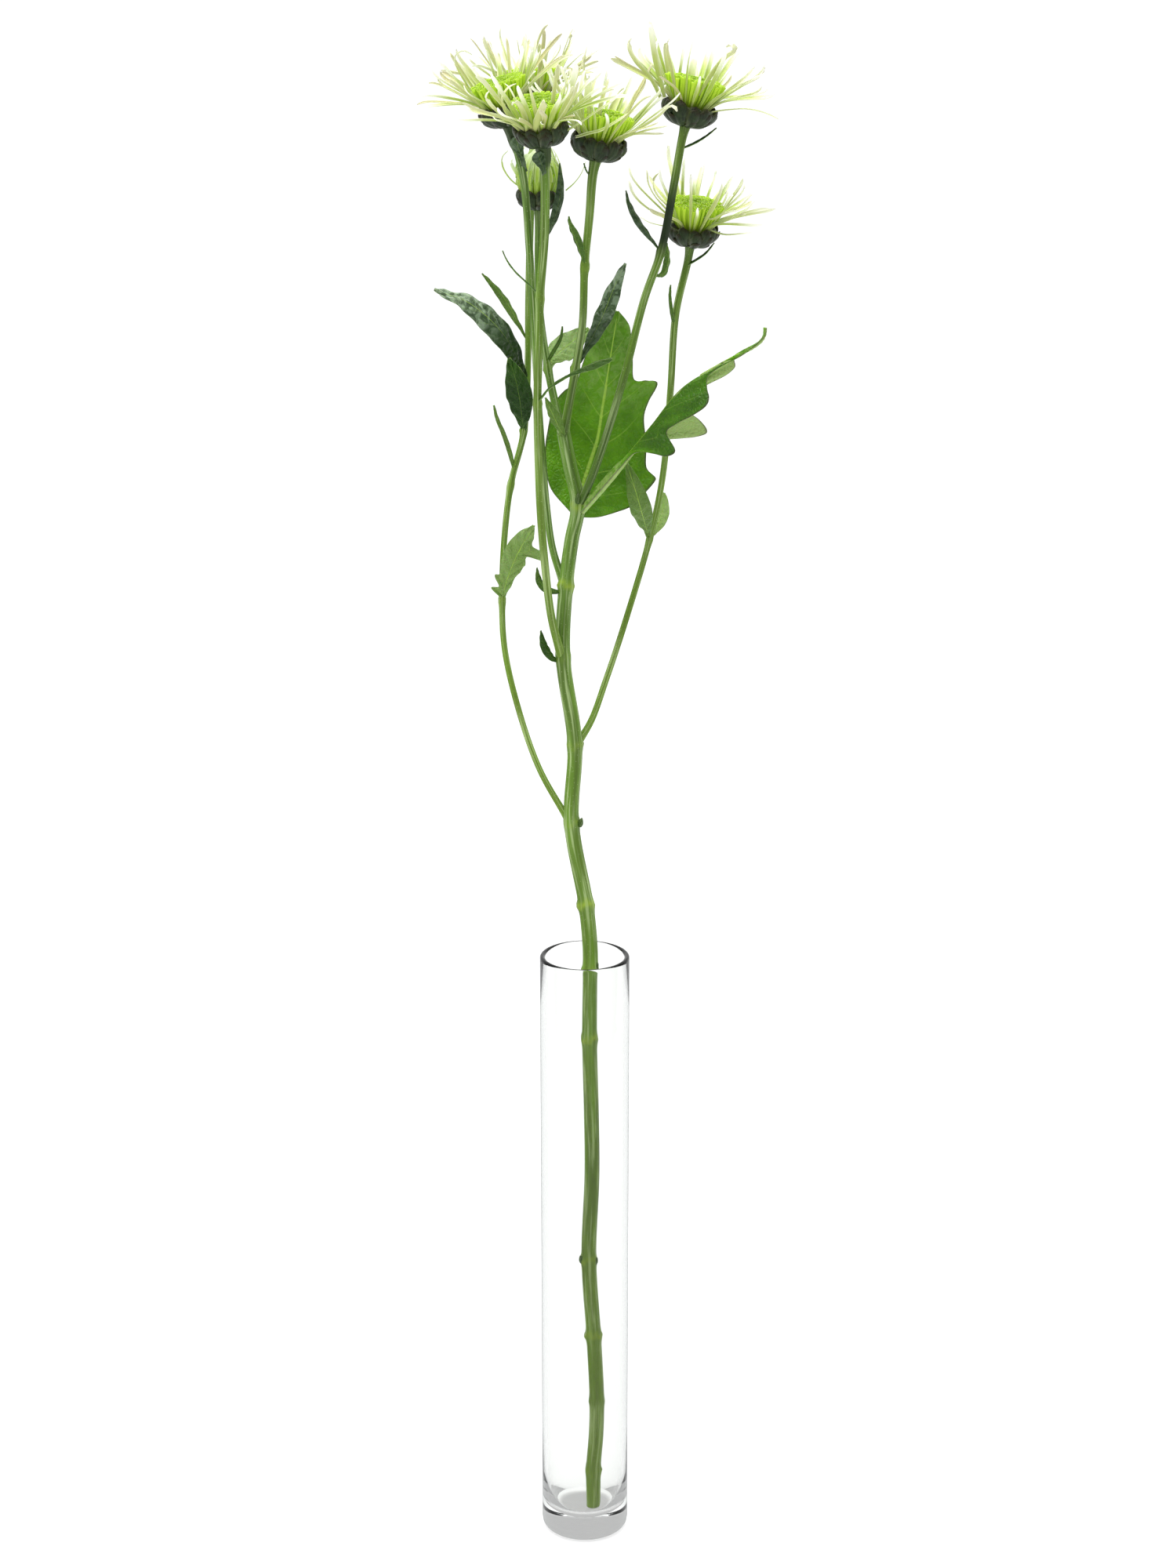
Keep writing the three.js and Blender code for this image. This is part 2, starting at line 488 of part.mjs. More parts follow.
// A leaf: rows of points across its rib, on an upper and a lower face. Thickness is square to each half, and
// halfway between them at the rib. A lobed leaf starts as a flat, thick petiole.
function leafSolid(leaf) {
  const curve = new THREE.CatmullRomCurve3(leaf.rib.map(vector));
  const face = vector(leaf.face).normalize();
  const rows = OUTLINES[leaf.outline];
  const parts = rows.length > 9 ? [0.5, 1] : [1];
  const length = curve.getLength();
  const rings = rows.map(([rib, leftAlong, leftOut, rightAlong, rightOut]) => {
    const lobed = leaf.outline === "lobed";
    const blade = lobed ? THREE.MathUtils.smoothstep(rib, ...PETIOLE_TO_BLADE) : 1;
    const tail = lobed ? THREE.MathUtils.smoothstep(rib, ...BLADE_TO_TAIL) : 0;
    const [left, right] = leaf.fold.map((fold) => radians(fold * blade * (1 - tail)));
    const along = curve.getTangentAt(rib);
    const up = face.clone().addScaledVector(along, -face.dot(along)).normalize();
    const side = along.clone().cross(up);
    const leftNormal = side.clone().multiplyScalar(-Math.sin(left)).addScaledVector(up, Math.cos(left));
    const rightNormal = side.clone().multiplyScalar(Math.sin(right)).addScaledVector(up, Math.cos(right));
    const leftWay = side.clone().multiplyScalar(-Math.cos(left)).addScaledVector(up, -Math.sin(left));
    const rightWay = side.clone().multiplyScalar(Math.cos(right)).addScaledVector(up, -Math.sin(right));
    const midNormal = leftNormal.clone().add(rightNormal).normalize();
    const point = (edgeAlong, way, out, normal, part, lift) => {
      const square = midNormal.clone().lerp(normal, Math.min(1, (out * leaf.half) / LEAF_THICKNESS));
      return curve
        .getPointAt(rib)
        .addScaledVector(along, (edgeAlong - rib) * length * part)
        .addScaledVector(way, out * leaf.half * part)
        .addScaledVector(square, lift);
    };
    const keel = (part) => -LEAF_THICKNESS / 2 - PETIOLE_KEEL * (1 - blade) * (1 - part);
    const across = (lift) => [
      ...[...parts].reverse().map((part) => point(leftAlong, leftWay, leftOut, leftNormal, part, lift(part))),
      point(rib, side, 0, midNormal, 0, lift(0)),
      ...parts.map((part) => point(rightAlong, rightWay, rightOut, rightNormal, part, lift(part))),
    ];
    return [...across(() => LEAF_THICKNESS / 2), ...across(keel).reverse()];
  });
  return solid(skin(rings, true));
}

function budSolid([at, way]) {
  const cone = new THREE.ConeGeometry(BUD.radius, BUD.length, BUD.sides);
  cone.translate(0, BUD.length / 2 - BUD.sunk, 0);
  const upright = new THREE.Vector3(0, 1, 0);
  cone.applyQuaternion(new THREE.Quaternion().setFromUnitVectors(upright, vector(way).normalize()));
  cone.translate(...at);
  return solid(cone);
}

// Rings of a head's cup or disc: [radius, height, zigzag in radius, zigzag in height] for each ring.
function zigzagSolid(head, axes, points, profile) {
  const rings = profile.map(([radius, height, wave, lift]) =>
    Array.from({ length: points }, (_, j) => {
      const turn = (2 * Math.PI * j) / points;
      const sign = j % 2 ? -1 : 1;
      const r = radius + wave * sign;
      return onHead(head, axes, r * Math.cos(turn), r * Math.sin(turn), height + lift * sign);
    }),
  );
  return solid(skin(rings));
}

// The dark cup of bracts under a head, with a well in its top for the florets.
function cupSolid(head, axes) {
  return zigzagSolid(head, axes, 2 * BRACTS_PER_CUP, [
    [2.1, 0, 0, 0],
    [0.57 * CUP_RADIUS, 0.75, 0.1, 0],
    [0.87 * CUP_RADIUS, 0.43 * CUP_HEIGHT, -0.25, 0.2],
    [CUP_RADIUS, 0.78 * CUP_HEIGHT, 0.3, -0.2],
    [CUP_RADIUS - 0.6, CUP_HEIGHT - 0.2, 0.2, 0.55],
    [CUP_WELL, CUP_FLOOR, 0, 0],
  ]);
}

// The bright green cushion of tubular florets: a column in the collar that flares to a ribbed, knobbly top.
function discSolid(head, axes) {
  const flare = head.open ? 1 : 0.74;
  const tall = head.open ? 1 : 0.92;
  const wide = DISC_RADIUS * flare;
  const top = DISC_HEIGHT * tall;
  return zigzagSolid(head, axes, 2 * RIBS_PER_DISC, [
    [DISC_COLUMN - 0.1, COLLAR.low, 0, 0],
    [DISC_COLUMN, COLLAR.high + 0.2, 0, 0],
    [0.68 * wide + 0.3, COLLAR.high + 3, 0.3, 0],
    [wide - 0.2, top - 0.6, 0.5, 0.2],
    [0.66 * wide, top + 0.6, 0, -0.35],
    [0.25 * wide, top + 0.1, 0, 0.35],
  ]);
}

// The path of one ray floret in a head's own axes: its points, with the floret's direction at each. It
// leaves the cup steeply, levels to its own rise, bends on the way, and hooks up or down near its tip.
function rayPath(ray) {
  const path = [];
  let out = RAY_ROOT.radius;
  let up = RAY_ROOT.height;
  const turn = radians(ray.turn);
  const radial = [Math.cos(turn), Math.sin(turn)];
  let aside = 0;
  for (let i = 0; i <= RAY_STEPS; i++) {
    const share = i / RAY_STEPS;
    const leaving = (ray.first - ray.rise) * Math.exp(-RAY_LEVELLING * share);
    const hooking = ray.hook * (Math.max(0, share - RAY_HOOK_FROM) / (1 - RAY_HOOK_FROM)) ** 2;
    const rise = radians(ray.rise + leaving + ray.bend * share + hooking);
    const swing = radians(ray.swing * share * share);
    const dOut = Math.cos(rise) * Math.cos(swing);
    const dAside = Math.cos(rise) * Math.sin(swing);
    const dUp = Math.sin(rise);
    path.push({
      at: [radial[0] * out - radial[1] * aside, radial[1] * out + radial[0] * aside, up],
      along: [radial[0] * dOut - radial[1] * dAside, radial[1] * dOut + radial[0] * dAside, dUp],
      share,
    });
    const stride = ray.length / RAY_STEPS;
    out += stride * dOut;
    aside += stride * dAside;
    up += stride * dUp;
  }
  return path;
}

// One draw of a ray floret, the k-th of `count` round a head: every second one belongs to the upper row.
function drawRay(head, draw, k, count) {
  const upper = k % 2;
  const turn = (360 * (k + draw(-0.3, 0.3))) / count;
  if (!head.open) {
    return {
      turn,
      first: 70,
      rise: draw(78, 86) - (k % 9 === 4 ? 40 : 0),
      bend: draw(2, 12),
      hook: draw(40, 90),
      swing: draw(-14, 14),
      length: RAY_LENGTH * draw(0.62, 0.86),
      width: RAY_WIDTH * draw(0.8, 1.05),
    };
  }
  return {
    turn,
    first: 58,
    rise: upper ? draw(44, 66) : draw(13, 36),
    bend: draw(-14, 4),
    hook: draw(-40, 75),
    swing: draw(-26, 26),
    length: RAY_LENGTH * draw(0.78, 1.12),
    width: RAY_WIDTH * draw(0.75, 1.2),
  };
}

// Changes tried, in order, on a ray floret that would touch something: added turn, added rise, share of
// its length.
const RAY_TRIES = [
  [0, 0, 1], [3, 4, 1], [-3, -4, 1], [6, 8, 1], [-6, 8, 1], [6, -8, 0.95], [-6, -8, 0.95], [0, 14, 0.85],
  [9, 4, 0.8], [-9, 4, 0.8], [0, -8, 0.65], [4, 10, 0.6], [-4, 10, 0.6], [0, 4, 0.45], [6, 0, 0.35],
];

// Beads that stand for a head's cup and disc: height and radius.
const HEAD_BEADS = [[2.5, 8], [5, 10], [10, 8.6], [13.5, 10], [16, 10]];

// Beads that stand for what a floret must keep clear of: centre, radius and the head it belongs to.
function beadsOfStalk(name) {
  const curve = stalkCurve(name);
  const count = Math.round(curve.getLength() / 2);
  return curve.getSpacedPoints(count).map((p, i) => ({
    at: p,
    radius: girthAt(STALKS[name].girth, i / count) + 0.2,
    head: HEADS[name.replace("shoot_", "")],
  }));
}

function beadsOfHead(head) {
  const axes = headAxes(head);
  return HEAD_BEADS.map(([height, radius]) => ({
    at: onHead(head, axes, 0, 0, height),
    radius: radius * head.size,
    head,
  }));
}

// The first change of a ray floret that keeps it clear of the beads, with its points, or nothing.
function clearRay(head, axes, ray, beads) {
  for (const [turn, rise, share] of RAY_TRIES) {
    const tried = { ...ray, turn: ray.turn + turn, rise: ray.rise + rise, length: ray.length * share };
    const points = rayPath(tried).map(({ at }) => onHead(head, axes, ...at));
    const matters = (bead, i) => bead.head !== head || (bead.ray && i > ROOT_STEPS);
    const touches = points.some((p, i) =>
      beads.some((bead) => matters(bead, i) && p.distanceTo(bead.at) < bead.radius + RAY_CLEAR),
    );
    if (!touches) return { tried, points };
  }
  return null;
}

// Places every head's ray florets, each bent, turned or shortened until it is clear of the rest.
function placeRays() {
  const beads = [
    ...Object.keys(STALKS).flatMap(beadsOfStalk),
    ...Object.values(HEADS).flatMap(beadsOfHead),
  ];
  const placed = {};
  for (const [key, head] of Object.entries(HEADS)) {
    const axes = headAxes(head);
    const draw = drawsFrom(head.seed);
    placed[key] = [];
    for (let k = 0; k < RAYS_PER_HEAD; k++) {
      const found = clearRay(head, axes, drawRay(head, draw, k, RAYS_PER_HEAD), beads);
      if (!found) continue;
      placed[key].push(found.tried);
      found.points.forEach((at, i) => {
        const free = i > ROOT_STEPS;
        beads.push({ at, radius: free ? RAY_CLEAR : 0.5, head, ray: free });
      });
    }
  }
  return placed;
}

// Half the width of a ray floret along its length: a narrow quill that opens into a blade with a narrower
// tip.
function rayHalfWidth(ray, share) {
  const opening = 0.42 + 0.58 * Math.sin(Math.PI * Math.min(1, share * 0.62 + 0.02)) ** 2;
  const tipFrom = 0.86;
  const tip = share > tipFrom ? 1 - ((share - tipFrom) / (1 - tipFrom)) * 0.62 : 1;
  return Math.max(RAY_LEAST_HALF, 0.5 * ray.width * opening * tip);
}

// One ray floret: a keeled blade of three sides.
function raySolid(head, axes, ray) {
  const path = rayPath(ray);
  const inHead = (x, y, z) =>
    new THREE.Vector3().addScaledVector(axes.x, x).addScaledVector(axes.y, y).addScaledVector(axes.z, z);
  const turn = radians(ray.turn);
  const rings = RAY_RINGS.map((i) => {
    const { at, along, share } = path[i];
    const centre = onHead(head, axes, ...at);
    const way = inHead(...along);
    const side = inHead(-Math.sin(turn), Math.cos(turn), 0);
    side.addScaledVector(way, -side.dot(way)).normalize();
    const keel = side.clone().cross(way);
    const half = rayHalfWidth(ray, share) * head.size;
    return [
      centre.clone().addScaledVector(side, half),
      centre.clone().addScaledVector(keel, RAY_KEEL),
      centre.clone().addScaledVector(side, -half),
    ];
  });
  return solid(skin(rings));
}

// The ring that holds the ray florets between the cup's wall and the disc.
function collarSolid(head, axes) {
  const { inner, outer, low, high } = COLLAR;
  const bevel = 0.5;
  const profile = [
    [inner, low], [outer, low], [outer, high - bevel],
    [inner + bevel, high], [inner, high - bevel], [inner, low],
  ];
  const lathe = turned(profile, COLLAR_SIDES);
  lathe.scale(head.size, head.size, head.size);
  lathe.applyMatrix4(new THREE.Matrix4().makeBasis(axes.x, axes.y, axes.z).setPosition(axes.origin));
  return solid(lathe);
}

// A profile of [radius, height] turned round the Z axis.
function turned(profile, sides) {
  const lathe = new THREE.LatheGeometry(profile.map(([r, z]) => new THREE.Vector2(r, z)), sides);
  lathe.deleteAttribute("normal");
  lathe.deleteAttribute("uv");
  return lathe.rotateX(Math.PI / 2);
}

// The vase: a rounded foot, straight wall and lip outside, and a bowl at the bottom inside.
function vaseSolid() {
  const bore = VASE_RADIUS - VASE_WALL;
  const lip = 0.7;
  const outside = [
    [0, 0], [VASE_RADIUS - 3, 0], [VASE_RADIUS - 0.8, 0.9], [VASE_RADIUS, 3.2],
    [VASE_RADIUS, VASE_HEIGHT - lip], [VASE_RADIUS - lip, VASE_HEIGHT],
  ];
  const inside = [
    [bore + lip, VASE_HEIGHT], [bore, VASE_HEIGHT - lip], [bore, VASE_FLOOR + 16],
    [bore - 1.1, VASE_FLOOR + 6], [bore - 3.4, VASE_FLOOR + 2], [bore - 6.5, VASE_FLOOR + 0.4],
    [0, VASE_FLOOR],
  ];
  return solid(turned([...outside, ...inside], VASE_SIDES));
}

const group = new THREE.Group();

function addNode(name, geometry, material) {
  const mesh = new THREE.Mesh(geometry, material);
  mesh.name = name;
  group.add(mesh);
}

addNode("glass_vase", geometryOf(vaseSolid()), CLEAR_GLASS);

// Stalks: the main stem whole, and each shoot cut back from it. Slivers and buds are fused to the stalk
// that they grow from.
const stalkNames = Object.keys(STALKS);
const cutters = Object.fromEntries(stalkNames.map((name) => [name, stalkSolid(name, STEM_SIDES, SEAT_GAP)]));
for (const name of stalkNames) {
  const sides = name === "main_stem" ? STEM_SIDES : SHOOT_SIDES;
  const growths = Object.entries(LEAVES)
    .filter(([key, leaf]) => key.startsWith("sliver") && leaf.host === name)
    .map(([, leaf]) => leafSolid(leaf));
  if (name === "main_stem") growths.push(...BUDS.map(budSolid));
  let stalk = growths.reduce((sum, growth) => sum.add(growth), stalkSolid(name, sides, 0));
  if (name !== "main_stem") stalk = stalk.subtract(cutters.main_stem);
  if (name === "shoot_e") stalk = stalk.subtract(cutters.shoot_d);
  addNode(name, geometryOf(largest(stalk)), STEM_GREEN);
}

// Leaves, each cut back from the stalks.
for (const [name, leaf] of Object.entries(LEAVES)) {
  if (name.startsWith("sliver")) continue;
  const blade = Object.values(cutters).reduce((left, cutter) => left.subtract(cutter), leafSolid(leaf));
  addNode(name, geometryOf(largest(blade)), LEAF_GREEN);
}

// Heads: a cup, a disc, and a crown of ray florets fused in their collar.
const rays = placeRays();
for (const [key, head] of Object.entries(HEADS)) {
  const axes = headAxes(head);
  const florets = rays[key].map((ray) => raySolid(head, axes, ray));
  const crown = florets.reduce((sum, floret) => sum.add(floret), collarSolid(head, axes));
  addNode(`head_${key}_cup`, geometryOf(cupSolid(head, axes)), CUP_GREEN);
  addNode(`head_${key}_disc`, geometryOf(discSolid(head, axes)), DISC_GREEN);
  addNode(`head_${key}_rays`, geometryOf(largest(crown)), RAY_CREAM);
}

export default group;
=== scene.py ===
"""Green spider santini chrysanthemum: one cut spray stem that stands in a clear glass tube vase."""
import math

import bmesh
import bpy
import numpy as np
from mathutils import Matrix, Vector


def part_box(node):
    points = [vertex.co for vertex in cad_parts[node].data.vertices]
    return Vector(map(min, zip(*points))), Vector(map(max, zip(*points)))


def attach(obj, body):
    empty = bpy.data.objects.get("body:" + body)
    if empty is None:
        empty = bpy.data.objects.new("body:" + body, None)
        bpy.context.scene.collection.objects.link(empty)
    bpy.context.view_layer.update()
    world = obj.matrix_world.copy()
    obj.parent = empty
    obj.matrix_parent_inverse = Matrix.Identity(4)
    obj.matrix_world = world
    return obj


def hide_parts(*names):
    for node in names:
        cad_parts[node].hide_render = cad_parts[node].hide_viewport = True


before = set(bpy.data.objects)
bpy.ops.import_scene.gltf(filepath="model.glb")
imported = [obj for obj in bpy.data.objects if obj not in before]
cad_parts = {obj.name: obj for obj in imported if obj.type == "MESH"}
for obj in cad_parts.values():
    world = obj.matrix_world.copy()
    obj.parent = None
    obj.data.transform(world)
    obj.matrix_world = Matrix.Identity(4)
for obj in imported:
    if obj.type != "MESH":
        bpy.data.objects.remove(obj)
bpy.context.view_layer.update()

MM = 0.001

# Camera of the photograph: its place in metres, how far it looks down in degrees, and its lens and sensor.
CAMERA_PLACE = (0.0013, -1.073, 0.645)
CAMERA_DOWN = 16.86
CAMERA_LENS = 67.05
CAMERA_SENSOR = 36

# Studio: half of the floor's side in metres, how bright floor and room are, and the lights: name, place,
# target and width in metres, and power in watts.
FLOOR_HALF = 40
FLOOR_BRIGHTNESS = 0.87
ROOM_BRIGHTNESS = 1.12
LIGHTS = (
    ("key softbox", (-0.8, -0.9, 1.6), (0, 0.02, 0.45), 0.8, 6),
    ("hair light", (-0.3, -0.1, 2.1), (0, 0.02, 0.5), 0.6, 13),
    ("top softbox", (0, 0.3, 2.4), (0, 0.2, 0), 2.6, 34),
)

# Vase, in millimetres: its wall, its floor's height inside, how far from its axis the coat on its outer
# face starts, and where the shade under its foot starts and is full.
VASE_WALL = 2
VASE_FLOOR = 8
COAT_FROM = 16.8
FOOT_SHADE = (17.5, 13)

# Cup of a flower head of size 1: its bowl and the profile that its bracts lie on, each as radius and height
# above the top of the stalk. Then its rows of bracts, inner row first: how many, start and end along the
# profile, width and lift.
CUP_BOWL = ((1.2, 0.1), (5, 0.8), (8, 3.1), (9, 5.2), (8.9, 6.5), (8.4, 6.6), (8, 5.2), (3, 5.1))
CUP_PROFILE = ((2, -0.2), (5.6, 0.55), (8.6, 2.9), (9.75, 5.2), (9.55, 7.4), (9.2, 8.4))
BRACT_ROWS = (
    (13, 0.45, 1.0, 5.2, 0.2), (11, 0.3, 0.93, 5.0, 0.45), (9, 0.1, 0.8, 4.6, 0.7), (7, 0.0, 0.56, 3.8, 0.9),
)
BRACT_THICKNESS = 0.3

# Disc of a head of size 1, in millimetres: the column that its florets stand on, its radius and height, and
# its seat.
DISC_COLUMN = 5.4
DISC_RADIUS = 10.9
DISC_HEIGHT = 16.4
DISC_SEAT = 5.3
FLORETS_PER_DISC = 165

# One disc floret: how many sides, its radius at each share of its length, and depth and radius inside its
# mouth.
FLORET_SIDES = 10
FLORET_STATIONS = np.array([0, 0.2, 0.45, 0.7, 0.88, 0.96, 1.0])
FLORET_WIDTHS = (0.34, 0.38, 0.46, 0.54, 0.6, 0.8, 0.86)
FLORET_MOUTH = ((0.05, 0.5), (0.7, 0.24))

# Ray florets of a head of size 1, in millimetres.
RAY_ROOT_RADIUS = 7
RAY_ROOT_HEIGHT = 6.5
RAY_LENGTH = 27.5
RAY_WIDTH = 1.9
RAY_THICKNESS = 0.16
RAYS_PER_HEAD = 21
EXTRA_RAYS = 26

# Steps along a ray floret, how many of them are its root, and the share where a hook in it starts.
RAY_STEPS = 20
RAY_SHARE = np.arange(RAY_STEPS + 1) / RAY_STEPS
ROOT_STEPS = 5
HOOK_FROM = 0.7

# Florets of a half-open head that rise more than this curl in over its disc.
CLOSED_ABOVE = 70

# Opening angle of a floret's channel at its root, and twist and range of warmth of the florets drawn one by
# one.
ROLL_AT_ROOT = 250
DRAWN_TWIST = 20
DRAWN_WARMTH = (0.45, 0.85)

# Room kept free around a crown's florets and the extra ones, and the beads that stand for a head: height
# and radius.
RAY_CLEAR = 0.95
EXTRA_CLEAR = 0.35
HEAD_BEADS = ((2.5, 8), (5, 10), (10, 8.6), (13.5, 10), (16, 10))

# Changes tried, in order, on a ray floret that would touch something: added turn, added rise and share of
# its length.
RAY_TRIES = (
    (0, 0, 1), (3, 4, 1), (-3, -4, 1), (6, 8, 1), (-6, 8, 1), (6, -8, 0.95), (-6, -8, 0.95), (0, 14, 0.85),
    (9, 4, 0.8), (-9, 4, 0.8), (0, -8, 0.65), (4, 10, 0.6), (-4, 10, 0.6), (0, 4, 0.45), (6, 0, 0.35),
)

# Stalks, in millimetres: the step along them, and the flare at a shoot's foot and under a head, as height
# and reach. Ribs are how many and how deep, as a share of the radius.
STALK_STEP = 1.6
FOOT_FLARE = (0.75, 4.5)
HEAD_FLARE = (0.9, 2.2)
STEM_RIBS = (7, 0.035)
SHOOT_RIBS = (5, 0.05)

# Leaf blades, in millimetres: thickness, the depth of a petiole, the rise of the cheeks between side veins
# and of the waves along the edge. Then how many side veins, their slant, and the least half width as a
# share.
BLADE_THICKNESS = 0.24
PETIOLE_DEPTH = 2.6
CHEEK_HEIGHT = 0.45
EDGE_WAVE = 0.5
SIDE_VEINS = 7.0
VEIN_SLANT = 1.1
NARROWEST = 0.015

# Along a blade's midrib, each as height and half width in millimetres: the groove above, the thicker blade
# and the keel below.
MIDRIB_GROOVE = (0.3, 0.9)
MIDRIB_THICKNESS = (0.25, 1.2)
MIDRIB_KEEL = (0.7, 0.8)

# Light that comes through thin forms from behind, as a share of their own colour.
DISC_GLOW = 0.15
LEAF_GLOW = 0.1
RAY_GLOW = 0.36

# Colours of all that is laid on or blended in the materials.
TINTS = {
    "stalk": (0.15, 0.31, 0.03),
    "deep stalk": (0.1, 0.22, 0.014),
    "stalk band": (0.045, 0.085, 0.012),
    "stalk crest": (0.42, 0.56, 0.24),
    "stalk speck": (0.5, 0.6, 0.3),
    "stalk shade": (0.014, 0.03, 0.008),
    "joint": (0.36, 0.5, 0.04),
    "leaf underside": (0.36, 0.5, 0.16),
    "leaf vein": (0.42, 0.64, 0.09),
    "dark bract": (0.004, 0.01, 0.003),
    "bract": (0.018, 0.036, 0.008),
    "bract line": (0.04, 0.07, 0.02),
    "bract rim": (0.12, 0.14, 0.055),
    "bract tip": (0.035, 0.012, 0.01),
    "disc root shade": (0.06, 0.11, 0.005),
    "disc middle": (0.4, 0.58, 0.03),
    "disc lime": (0.54, 0.77, 0.05),
    "deep disc": (0.16, 0.3, 0.01),
    "disc mouth shade": (0.035, 0.09, 0.003),
    "ray root shade": (0.11, 0.18, 0.012),
    "ray streak": (0.5, 0.64, 0.14),
    "warm ray": (0.66, 0.58, 0.36),
    "worn ray": (0.36, 0.26, 0.12),
    "closed ray": (0.36, 0.56, 0.06),
    "ray edge": (0.86, 0.88, 0.7),
    "faint ray tip": (0.94, 0.95, 0.86),
    "ray tip glow": (1, 1, 0.93),
    "glass": (0.99, 0.997, 0.985),
    "glass gloss": (0.22, 0.22, 0.22),
    "glass coat": (0.95, 0.953, 0.953),
    "floor": (0.2, 0.2, 0.2),
    "room grey": (0.3, 0.31, 0.32),
    "white": (1, 1, 1),
    "black": (0, 0, 0),
}

# Tints along a ray floret, out of the painted shade at its root: start and end of each change, and the colour
# that it leads to.
RAY_TINTS = (
    (0.0, 0.16, (0.25, 0.39, 0.03)),
    (0.16, 0.42, (0.34, 0.48, 0.05)),
    (0.42, 0.72, (0.56, 0.65, 0.23)),
    (0.72, 1.0, (0.74, 0.77, 0.54)),
)

# Colours of the blades at tones 0, 0.5 and 1: two of each that drift into one another. On glossy blades the
# last two are painted reflection, the light that the face throws back, and on backlit blades the last is
# painted sheen.
LEAF_COLOURS = (
    ((0.01, 0.042, 0.003), (0.028, 0.085, 0.007)),
    ((0.07, 0.15, 0.018), (0.11, 0.21, 0.03)),
    ((0.28, 0.43, 0.11), (0.38, 0.55, 0.2)),
)
GLOSSY_COLOURS = (
    ((0.008, 0.034, 0.002), (0.022, 0.066, 0.005)),
    ((0.2, 0.3, 0.17), (0.36, 0.47, 0.32)),
    ((0.4, 0.52, 0.34), (0.5, 0.62, 0.44)),
)
BACKLIT_COLOURS = (
    ((0.022, 0.075, 0.003), (0.038, 0.115, 0.004)),
    ((0.068, 0.2, 0.001), (0.115, 0.31, 0.002)),
    ((0.22, 0.35, 0.08), (0.3, 0.45, 0.14)),
)
LEAF_EDGE = (0.16, 0.26, 0.07)
GLOSSY_EDGE = (0.12, 0.2, 0.07)
BACKLIT_EDGE = (0.06, 0.05, 0.03)

# Stalks: routes in millimetres from foot to head, radii at foot, middle and top, and the points with a leaf
# or scar, each with the strength of its collar. Fresh is how lime the stalk is at its foot and at its top,
# and neck is how long and how much thicker its dark end under the head is.
STALKS = {
    "main_stem": {
        "girth": (2.85, 2.95, 2.6),
        "fresh": (0.42, 0.0),
        "joints": {
            1: 0.6, 3: 0.35, 4: 1, 5: 0.7, 8: 0.9, 9: 0.45,
            11: 1, 12: 0.4, 13: 0.4, 14: 0.2, 15: 0.9, 17: 0.6,
        },
        "route": (
            (3.6, -6.3, 9.5), (3.4, -5, 27), (4.5, -4, 43), (4.8, -2.9, 58), (3.5, -0.7, 86.5),
            (1.6, 1.7, 119), (2.9, 4.6, 156), (2.6, 6.5, 182), (1.9, 8.9, 212), (2.2, 11, 240),
            (2, 11.8, 250), (0.4, 13.1, 266.5), (-5.2, 15.6, 299.5), (-3.9, 18, 330.5), (-8.4, 20.5, 365),
            (-7.2, 22.5, 393), (-5, 24, 410), (-2.6, 25, 423.5), (-5.6, 26, 438.5), (-8, 27, 451),
        ),
    },
    "shoot_a": {
        "girth": (1.35, 1.3, 1.5),
        "neck": (11.5, 0.9),
        "joints": {},
        "route": (
            (-7.5, 22.5, 392), (-12.2, 26, 406), (-14.6, 28.5, 423), (-16.1, 29.5, 441.8),
            (-17.7, 28.5, 466), (-18.8, 27.5, 487), (-20.3, 26, 516.6), (-22.4, 25, 545),
        ),
    },
    "shoot_b": {
        "girth": (1.55, 1.5, 1.75),
        "neck": (9.5, 0.75),
        "fresh": (0.3, 0.1),
        "joints": {4: 0.3, 6: 0.3},
        "route": (
            (-8.6, 20.4, 364), (-12.6, 14, 382), (-15, 9.5, 404), (-16.6, 7, 427), (-17.4, 4.4, 466),
            (-16.9, 4, 484), (-16.3, 4, 505), (-14.4, 3, 530),
        ),
    },
    "shoot_c": {
        "girth": (1.15, 1.2, 1.4),
        "fresh": (0.3, 0.1),
        "joints": {4: 0.5, 6: 0.3, 7: 0.2},
        "route": (
            (-5.6, 15.6, 299), (-17.8, 22, 319.5), (-27.1, 32, 345), (-31.6, 39, 365), (-32.4, 44, 382),
            (-31.5, 48, 404.6), (-28.9, 52, 426), (-23.6, 55.5, 447), (-22, 58.5, 473.7),
            (-21.7, 60.5, 494.6), (-21, 61.5, 521.5),
        ),
    },
    "shoot_d": {
        "girth": (1.6, 1.3, 1.3),
        "joints": {2: 0.2},
        "route": ((-8, 27, 450), (-10.9, 31.5, 460), (-14, 37, 474), (-16.9, 42.5, 494), (-17.7, 45, 512)),
    },
    "shoot_e": {
        "girth": (1.7, 1.4, 1.75),
        "fresh": (0.1, 0.25),
        "joints": {1: 0.25, 3: 0.4},
        "route": ((-8, 26.7, 450), (-3.4, 25.5, 475.5), (-0.8, 24.5, 492), (0.1, 24, 514), (1.9, 23, 533)),
    },
    "shoot_f": {
        "girth": (1.5, 1.45, 1.5),
        "fresh": (0.0, 0.2),
        "joints": {4: 0.25},
        "route": (
            (-2.6, 24.8, 422), (3.6, 22, 437), (14.6, 23, 472), (22.4, 26.5, 501.5), (28.6, 29, 519),
            (33.4, 31, 544),
        ),
    },
    "shoot_g": {
        "girth": (1.25, 1.2, 1.45),
        "fresh": (0.3, 0.15),
        "joints": {4: 0.25},
        "route": (
            (-3.9, 18, 329), (2.4, 24, 338), (8.2, 33, 352), (15.2, 43, 371), (25.6, 54, 404.5),
            (30.5, 58, 427.6), (33.4, 60, 461.2), (35.3, 61, 491.5),
        ),
    },
}
